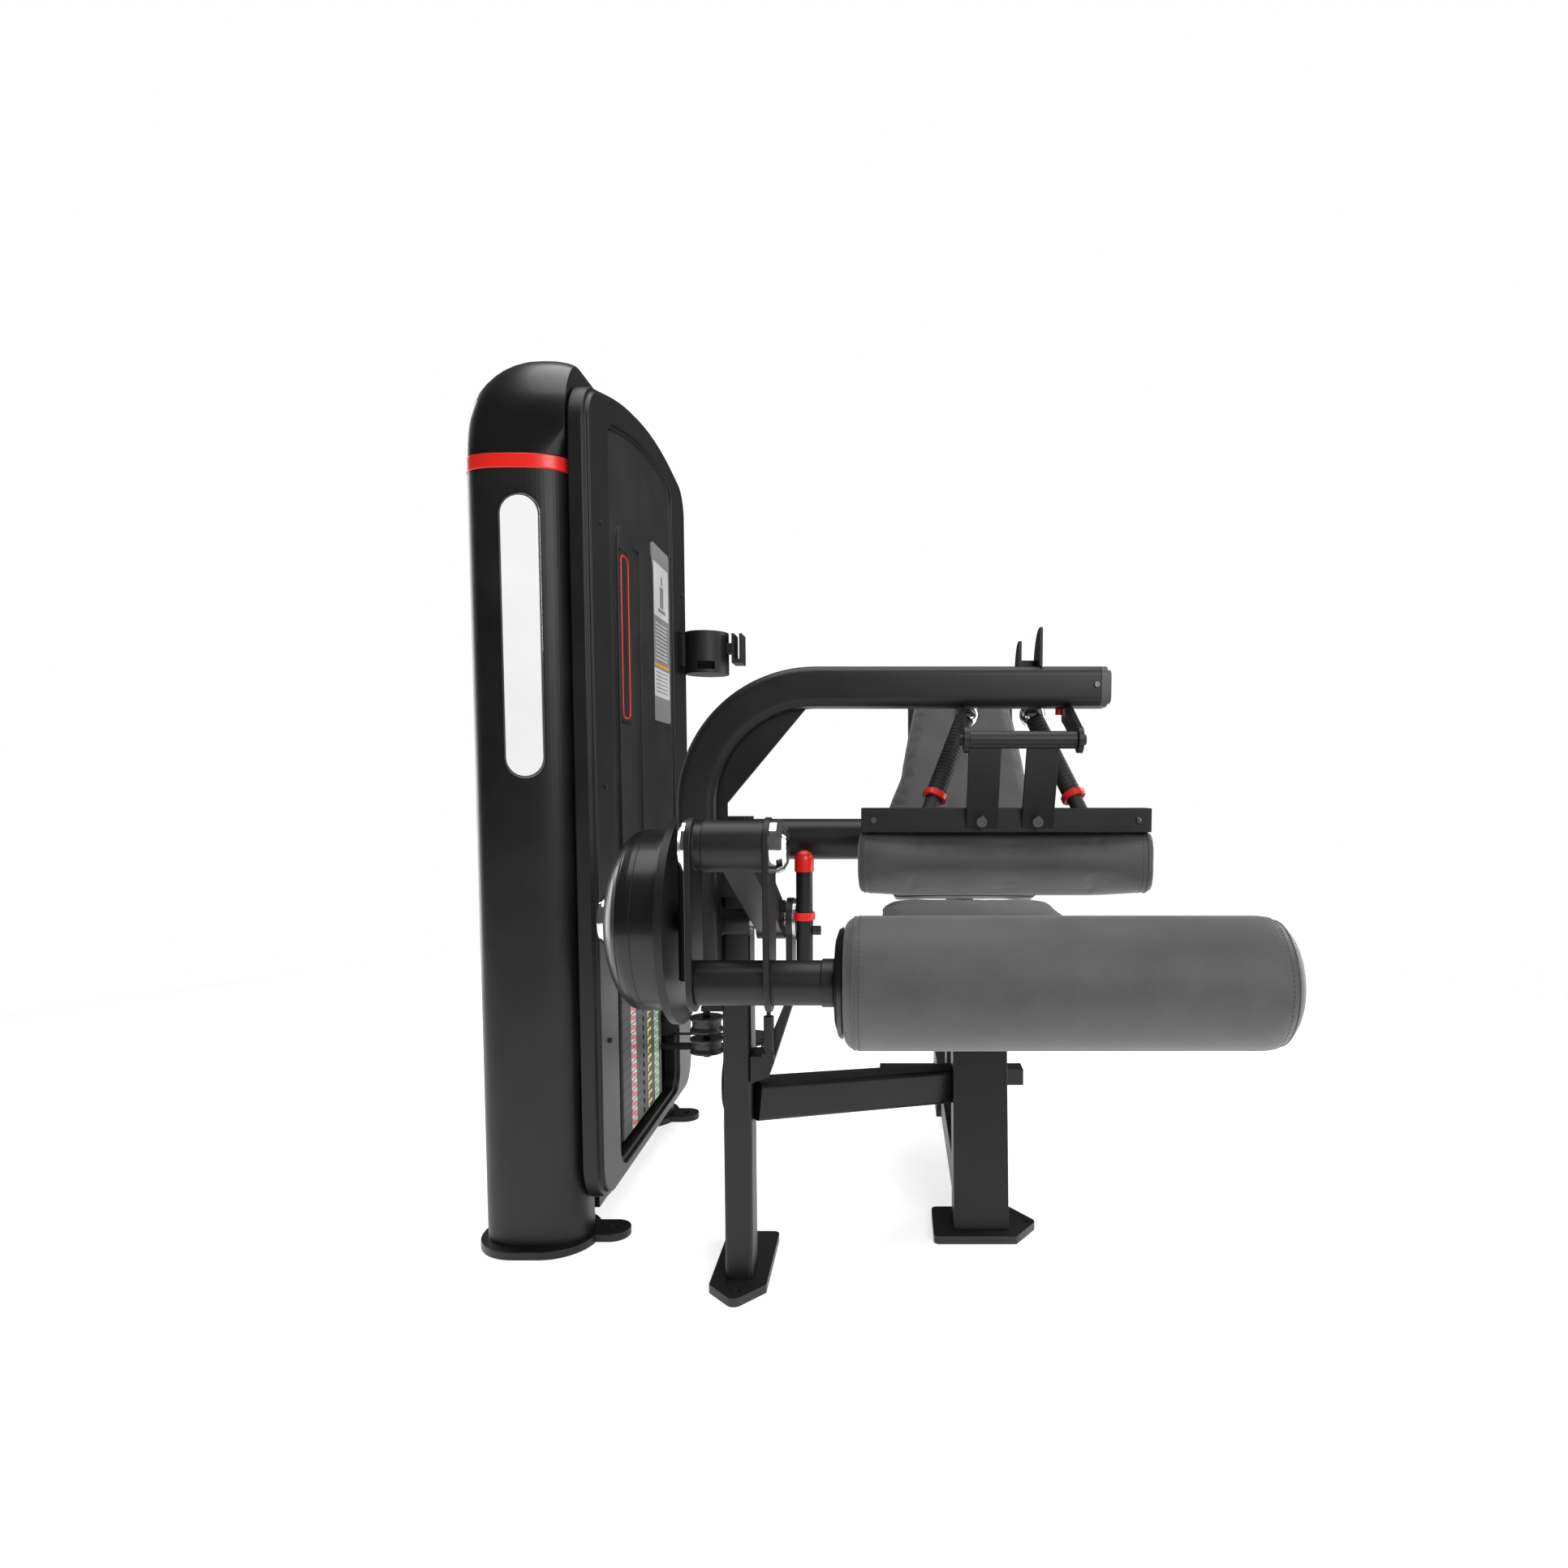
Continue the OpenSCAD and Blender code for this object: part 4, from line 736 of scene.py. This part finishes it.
def sew(name, cushion_obj, loops, body, welt=1.6, row=6.0):
    """loops is a list of (welt loop, stitch loop) before they are dropped onto the skin."""
    welts, rows = [], []
    for welt_points, stitch_points in loops:
        welts.append(grow(WELT, loop_object(on_skin(cushion_obj, welt_points, 0.2)),
                          {"Radius": welt * MM, "Material": vinyl}))
        rows.append(grow(STITCHES, loop_object(on_skin(cushion_obj, stitch_points, 0.1)),
                         {"Spacing": row * MM, "Thickness": 0.6 * MM, "Material": thread}))
    cord = keep_piece(name + "_welt", joined(name + "_welt", welts), vinyl, body)
    cord.data.polygons.foreach_set("use_smooth", [True] * len(cord.data.polygons))
    keep_piece(name + "_stitches", joined(name + "_stitches", rows), thread, body)
    print(name, "sewn with", len(loops), "seams")


# %% Sewing them
sew("seat", seat, [(outline_loop("seat_pad", (0, 0, 1), 9, 2),
                    outline_loop("seat_pad", (0, 0, 1), 2, 14))], "frame")
sew("back", back, [(outline_loop("back_pad", -BACK_BOARD, 9, 2),
                    outline_loop("back_pad", -BACK_BOARD, 2, 14))],
    "back")
sew("thigh", thigh, [(outline_loop("thigh_pad", (s, 0, 0), 9, 2), outline_loop("thigh_pad", (s, 0, 0), 17, 0))
                     for s in (-1, 1)], "thigh", 1.2)


def hoop(x, radius, count=120):
    return [Vector((x, roll_axis.y + radius * math.cos(2 * math.pi * k / count),
                    roll_axis.z + radius * math.sin(2 * math.pi * k / count))) for k in range(count)]


sew("roller", roller, [(hoop(roll_low.x + 12 * MM, roll_radius), hoop(roll_low.x + 20 * MM, roll_radius)),
                       (hoop(roll_high.x - 22 * MM, roll_radius * 0.9),
                        hoop(roll_high.x - 30 * MM, roll_radius))],
    "roller", 1.1)

# %% [markdown]
# ## Seams of the cam cover
# The cover is pressed from a ring and a bowl, and its joints show as thin dark lines. Two hoops are
# dropped onto the cover in the same way as the welts and made into fine beads.

# %% Cover seams
cover_low, cover_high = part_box("cam_cover")
cover_mid = (cover_low + cover_high) / 2
cover_r = (cover_high.z - cover_low.z) / 2
beads = []
for share in (0.34, 0.62):
    x = cover_low.x + (cover_high.x - cover_low.x) * share
    around = [Vector((x, cover_mid.y + cover_r * math.cos(2 * math.pi * k / 120),
                      cover_mid.z + cover_r * math.sin(2 * math.pi * k / 120))) for k in range(120)]
    beads.append(grow(WELT, loop_object(on_skin(NODES["cam_cover"], around, 0.1)),
                      {"Radius": 0.7 * MM, "Material": dark_moulding}))
keep_piece("cover_seams", joined("cover_seams", beads), dark_moulding, BODY_OF["cam_cover"])
print("cover seams on a radius of", round(cover_r * 1000), "mm")

# %% [markdown]
# ## Grips
# Each grip is a rubber sleeve with fine rings, a thick red collar at its foot and a bright ball cap. The
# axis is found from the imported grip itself: the middle of its lowest and of its highest points.

# %% Grip sleeves, collars and caps
def grip_axis(points):
    lowest = min(p.z for p in points)
    highest = max(p.z for p in points)
    foot = [p for p in points if p.z < lowest + 14 * MM]
    head = [p for p in points if p.z > highest - 14 * MM]
    a = sum(foot, Vector()) / len(foot)
    b = sum(head, Vector()) / len(head)
    return a, b


grip_points = [v.co.copy() for v in NODES["grips"].data.vertices]
grip_mid = sum(p.x for p in grip_points) / len(grip_points)
sleeves, collars, balls = [], [], []
for side in (-1, 1):
    foot, head = grip_axis([p for p in grip_points if (p.x - grip_mid) * side > 0])
    axis = (head - foot).normalized()
    length = (head - foot).length - 6 * MM
    sleeve = [(0, 0), (0, 11 * MM), (30 * MM, 11 * MM), (30 * MM, 13 * MM)]
    rings = 22
    for k in range(rings):
        at = 40 * MM + (length - 52 * MM) * k / rings
        pitch = (length - 52 * MM) / rings
        sleeve += [(at, 14 * MM), (at + pitch * 0.7, 14 * MM), (at + pitch * 0.8, 13.3 * MM),
                   (at + pitch * 0.95, 13.3 * MM)]
    sleeve += [(length - 11 * MM, 14 * MM), (length - 4 * MM, 11 * MM), (length - 4 * MM, 0)]
    sleeves.append(turned("sleeve", foot, axis, sleeve, 40))
    collar = [(30 * MM, 12 * MM), (30 * MM, 16.5 * MM), (31.5 * MM, 18 * MM), (38.5 * MM, 18 * MM),
              (40 * MM, 16.5 * MM), (40 * MM, 12 * MM)]
    collars.append(turned("collar", foot, axis, collar, 48))
    ball = [(length - 12 * MM, 0), (length - 12 * MM, 13 * MM)]
    ball += arc((length - 1 * MM, 0), 19.5 * MM, 125, 0, 14)
    ball[-1] = (ball[-1][0], 0)
    balls.append(turned("ball", foot, axis, ball, 48))
keep_piece("grip_sleeves", joined("grip_sleeves", sleeves), rubber_grip, "thigh", ["grips"])
keep_piece("grip_collars", joined("grip_collars", collars), red_plastic, "thigh")
keep_piece("grip_caps", joined("grip_caps", balls), bright_cap, "thigh")
print("grips", round(length * 1000), "mm long")

# %% [markdown]
# ## The start lever and the knee axis
# The lever is a black tube with a red cap and a red band, and the knee axis ends in a bright flange with
# a red ring. These small bright pieces are what the eye finds first on a black machine.

# %% Lever cap, band and the axis end
lever_x = lever_high.x - 12.5 * MM
knee_low, knee_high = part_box("knee_shaft")
knee_y, knee_z = (knee_low.y + knee_high.y) / 2, (knee_low.z + knee_high.z) / 2
lever_y = knee_y - 34 * MM
lever_top = lever_high.z
cap = [(-26 * MM, 12.6 * MM), (-26 * MM, 14.5 * MM)] + arc((-8 * MM, 0), 14.5 * MM, 90, 0, 8)
cap[-1] = (cap[-1][0], 0)
keep_piece("lever_cap", turned("lever_cap", (lever_x, lever_y, lever_top), (0, 0, 1), cap, 40), red_plastic,
           "lever")
band_z = knee_z + 4 * MM
band = [(0, 12.4 * MM), (0, 15 * MM), (1 * MM, 16 * MM), (11 * MM, 16 * MM), (12 * MM, 15 * MM),
        (12 * MM, 12.4 * MM)]
keep_piece("lever_band", turned("lever_band", (lever_x, lever_y, band_z), (0, 0, 1), band, 40), red_plastic,
           "lever")
flange = [(0, 0), (0, 27 * MM), (2 * MM, 29 * MM), (6 * MM, 29 * MM), (8 * MM, 27 * MM), (8 * MM, 20 * MM),
          (11 * MM, 17 * MM), (11 * MM, 0)]
keep_piece("knee_flange",
           turned("knee_flange", (lever_low.x + 12 * MM, knee_y, knee_z), (1, 0, 0), flange, 48),
           bright_cap, "lever")
red_ring = [(0, 30.5 * MM), (0, 31.6 * MM), (2.5 * MM, 31.6 * MM), (2.5 * MM, 30.5 * MM)]
keep_piece("knee_ring", turned("knee_ring", (lever_low.x + 6 * MM, knee_y, knee_z), (1, 0, 0), red_ring, 48),
           red_plastic, "lever")

# %% [markdown]
# ## Cables
# The cable is a fixed run, so its packed tube keeps its place. Its triangles are joined and it is shaded
# smooth, so the eight sides look round. The short piece over the stack gets shorter as the stack rises; here
# it only gets a mesh of its own.

# %% Round cables
def rounded_cable(node, body):
    work = bmesh.new()
    work.from_mesh(NODES[node].data)
    bmesh.ops.remove_doubles(work, verts=work.verts, dist=0.02 * MM)
    bmesh.ops.join_triangles(work, faces=work.faces, angle_face_threshold=0.2, angle_shape_threshold=0.6)
    mesh = bpy.data.meshes.new(node)
    work.to_mesh(mesh)
    work.free()
    for layer in [a.name for a in mesh.attributes if a.name == "custom_normal"]:
        mesh.attributes.remove(mesh.attributes[layer])
    mesh.polygons.foreach_set("use_smooth", [True] * len(mesh.polygons))
    return keep_piece(node + "_coat", mesh, cable_coat, body, [node])


rounded_cable("drive_cable", "frame")
short = rounded_cable("stack_cable", "frame")
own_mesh(short)

# %% [markdown]
# ## Labels
# The stack carries printed strips: slanted stripes at both sides and a yellow hook mark by each hole. The
# guard has a rounded red outline, and the placard shows a picture box and lines of print, kept generic. All
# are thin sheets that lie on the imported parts.

# %% Label sheets
def slab(low, high):
    work = bmesh.new()
    made = bmesh.ops.create_cube(work, size=1.0)
    centre, size = (Vector(low) + Vector(high)) / 2, Vector(high) - Vector(low)
    for v in made["verts"]:
        v.co = Vector((v.co[i] * size[i] + centre[i] for i in range(3)))
    mesh = bpy.data.meshes.new("slab")
    work.to_mesh(mesh)
    work.free()
    return mesh


def flat_bar(name, outline, thick):
    """A thin sheet in the plane across Z, for the setter tree."""
    work = bmesh.new()
    lower = [work.verts.new((x, y, 0)) for x, y in outline]
    upper = [work.verts.new((x, y, thick)) for x, y in outline]
    bridge(work, lower, upper)
    work.faces.new(upper)
    work.faces.new(list(reversed(lower)))
    mesh = bpy.data.meshes.new(name)
    work.to_mesh(mesh)
    work.free()
    made = bpy.data.objects.new(name, mesh)
    bpy.context.scene.collection.objects.link(made)
    return made


label_white = surface("label_white", grey(0.55), grey(0.68), (0.34, 0.42), 500, 0.01)
label_yellow = surface("label_yellow", (0.78, 0.66, 0.004), (0.86, 0.74, 0.008), (0.34, 0.42), 500, 0.01)
label_green = surface("label_green", (0.05, 0.36, 0.09), (0.08, 0.46, 0.13), (0.34, 0.42), 500, 0.01)
label_grey = surface("label_grey", grey(0.20), grey(0.27), (0.34, 0.42), 500, 0.01)
label_orange = surface("label_orange", (0.75, 0.30, 0.02), (0.82, 0.36, 0.03), (0.34, 0.42), 500, 0.01)
label_black = surface("label_black", grey(0.008), grey(0.012), (0.28, 0.36), 500, 0.01)

rest_low, rest_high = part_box("resting_plates")
lift_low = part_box("lifted_plates")[0]
PITCH = 19 * MM
stack_face = rest_high.x
stack_mid = (rest_low.y + rest_high.y) / 2
stripe = flat_bar("stripe", [(-8, -17), (1, -17), (8, 17), (-1, 17)], 0.35)
backing = flat_bar("backing", [(-8.4, -18), (8.4, -18), (8.4, 18), (-8.4, 18)], 0.2)
hook = flat_bar("hook", [(-7, -13), (7, -13), (7, -7), (-1, -7), (-1, 14), (-7, 14)], 0.3)


def plate_spots(first_z, count, y, dz=0.0):
    return [(Vector((stack_face, y, first_z + (k + 0.5) * PITCH + dz)), TO_SEAT) for k in range(count)]


for body, first, count in (("frame", rest_low.z, 15), ("stack", lift_low.z, 5)):
    for colour, mat, y in (("red", label_red, stack_mid - 72 * MM),
                           ("green", label_green, stack_mid + 104 * MM)):
        set_pieces(f"{body}_{colour}_backing", backing, plate_spots(first, count, y), MM, label_white, body)
        set_pieces(f"{body}_{colour}_stripes", stripe, plate_spots(first, count, y),
                   MM, mat, body)
    set_pieces(f"{body}_hooks", hook,
               plate_spots(first, count, stack_mid + 46 * MM), MM, label_yellow, body)

# %% The guard's outline and the placard
strip_low, strip_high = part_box("label_strip")
placard_low, placard_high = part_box("placard")
RED_LINE = 3.2


def rounded_outline(low, high, x, inset, radius, steps=8):
    points = []
    corners = [(high.y - inset - radius, high.z - inset - radius, 0),
               (low.y + inset + radius, high.z - inset - radius, 90),
               (low.y + inset + radius, low.z + inset + radius, 180),
               (high.y - inset - radius, low.z + inset + radius, 270)]
    for y, z, start in corners:
        for k in range(steps + 1):
            a = math.radians(start + 90 * k / steps)
            points.append(Vector((x, y + radius * math.cos(a), z + radius * math.sin(a))))
    return points


outline = grow(WELT, loop_object(rounded_outline(strip_low, strip_high, strip_high.x, 9 * MM, 14 * MM)),
               {"Radius": RED_LINE * 0.5 * MM, "Material": label_red})
keep_piece("guard_outline", outline, label_red, "frame")
NODES["label_strip"].data.materials[0] = label_black
NODES["placard"].data.materials[0] = label_grey
sheet_w, sheet_h = placard_high.y - placard_low.y, placard_high.z - placard_low.z
face_x = placard_high.x


def on_placard(u0, u1, v0, v1, lift=0.4):
    return slab((face_x, placard_low.y + u0 * sheet_w, placard_low.z + v0 * sheet_h),
                (face_x + lift * MM, placard_low.y + u1 * sheet_w, placard_low.z + v1 * sheet_h))


keep_piece("placard_picture", joined("placard_picture", [on_placard(0.08, 0.92, 0.60, 0.90),
                                                         on_placard(0.06, 0.94, 0.14, 0.30)]),
           label_white, "frame")
keep_piece("placard_figure", joined("placard_figure", [on_placard(0.42, 0.62, 0.66, 0.78, 0.8),
                                                       on_placard(0.30, 0.74, 0.63, 0.65, 0.8),
                                                       on_placard(0.48, 0.56, 0.79, 0.84, 0.8)]),
           label_grey, "frame")
keep_piece("placard_rule", on_placard(0.08, 0.92, 0.315, 0.33), label_orange, "frame")
print_line = flat_bar("print_line", [(-1.1, -52), (1.1, -52), (1.1, 46), (-1.1, 46)], 0.4)
lines = [(Vector((face_x, (placard_low.y + placard_high.y) / 2, placard_low.z + v * sheet_h)), TO_SEAT)
         for v in (0.36 + 0.022 * k for k in range(10))]
set_pieces("placard_lines", print_line, lines, MM, label_white, "frame")
dark_lines = [(p + Vector((0.4 * MM, 0, -0.19 * sheet_h)), a) for p, a in lines[:6]]
set_pieces("placard_small_print", print_line, dark_lines, MM, label_grey, "frame")

for template in (SOCKET, stripe, backing, hook, print_line):
    bpy.data.objects.remove(template)

# %% [markdown]
# ## Floor, light and camera
# The studio is a wide pale floor under a white sky, so no horizon shows. The sky looks white but lights
# the scene only dimly, which keeps the black fronts deep. Long soft lamps beside and behind the machine
# draw the thin bright edges along its tubes, and a broad one above gives the cushions their soft tops.

# %% The studio
def pale_floor():
    mat = surface("pale_floor", grey(0.88), grey(0.92), (0.80, 0.90), 8, 0.01, drift=0.8, specular=0.1)
    shader = mat.node_tree.nodes["Principled BSDF"]
    shader.inputs["Emission Color"].default_value = (1, 1, 1, 1)
    shader.inputs["Emission Strength"].default_value = 0.66
    return mat


floor_mesh = turned("studio_floor", (0, 0, -0.004), (0, 0, 1),
                    [(0.0, 0.0), (0.0, 3.4), (0.0035, 3.4), (0.0035, 0.0)],
                    96, False)
floor_mesh.materials.append(pale_floor())
floor = bpy.data.objects.new("studio_floor", floor_mesh)
bpy.context.scene.collection.objects.link(floor)

world = bpy.data.worlds.new("studio")
bpy.context.scene.world = world
world.use_nodes = True
sky = world.node_tree.nodes["Background"]
sight = world.node_tree.nodes.new("ShaderNodeLightPath")
level = world.node_tree.nodes.new("ShaderNodeMapRange")
level.inputs["To Min"].default_value, level.inputs["To Max"].default_value = 0.10, 1.0
world.node_tree.links.new(sight.outputs["Is Camera Ray"], level.inputs["Value"])
world.node_tree.links.new(level.outputs["Result"], sky.inputs["Strength"])
sky.inputs["Color"].default_value = (1, 1, 1, 1)
bpy.context.scene.view_settings.view_transform = "Standard"


def soft_lamp(name, place, target, size, power):
    lamp = bpy.data.lights.new(name, "AREA")
    lamp.shape = "RECTANGLE"
    lamp.size, lamp.size_y = size
    lamp.energy = power
    obj = bpy.data.objects.new(name, lamp)
    obj.location = place
    obj.rotation_euler = (Vector(target) - Vector(place)).to_track_quat("-Z", "Y").to_euler()
    bpy.context.scene.collection.objects.link(obj)


middle = (cad_low + cad_high) / 2
soft_lamp("left_strip", (middle.x - 2.6, middle.y + 1.2, 1.3), middle, (1.0, 3.0), 60)
soft_lamp("right_strip", (middle.x + 2.8, middle.y + 0.9, 1.3), middle, (1.0, 3.0), 60)
soft_lamp("overhead", (middle.x, middle.y - 0.3, 3.6), middle, (2.6, 2.6), 75)
soft_lamp("front_fill", (middle.x + 1.6, middle.y - 3.6, 2.4), middle, (2.0, 2.0), 95)

# %% The camera
camera = bpy.data.cameras.new("camera")
camera.sensor_width = 36
camera.lens = 21.8
camera.shift_x, camera.shift_y = -0.0694, 0.0402
eye = bpy.data.objects.new("camera", camera)
eye.location = (0.242, knee_y - 1.47, 0.790)
eye.rotation_euler = (math.radians(90 - 3.7), 0, 0)
bpy.context.scene.collection.objects.link(eye)
bpy.context.scene.camera = eye
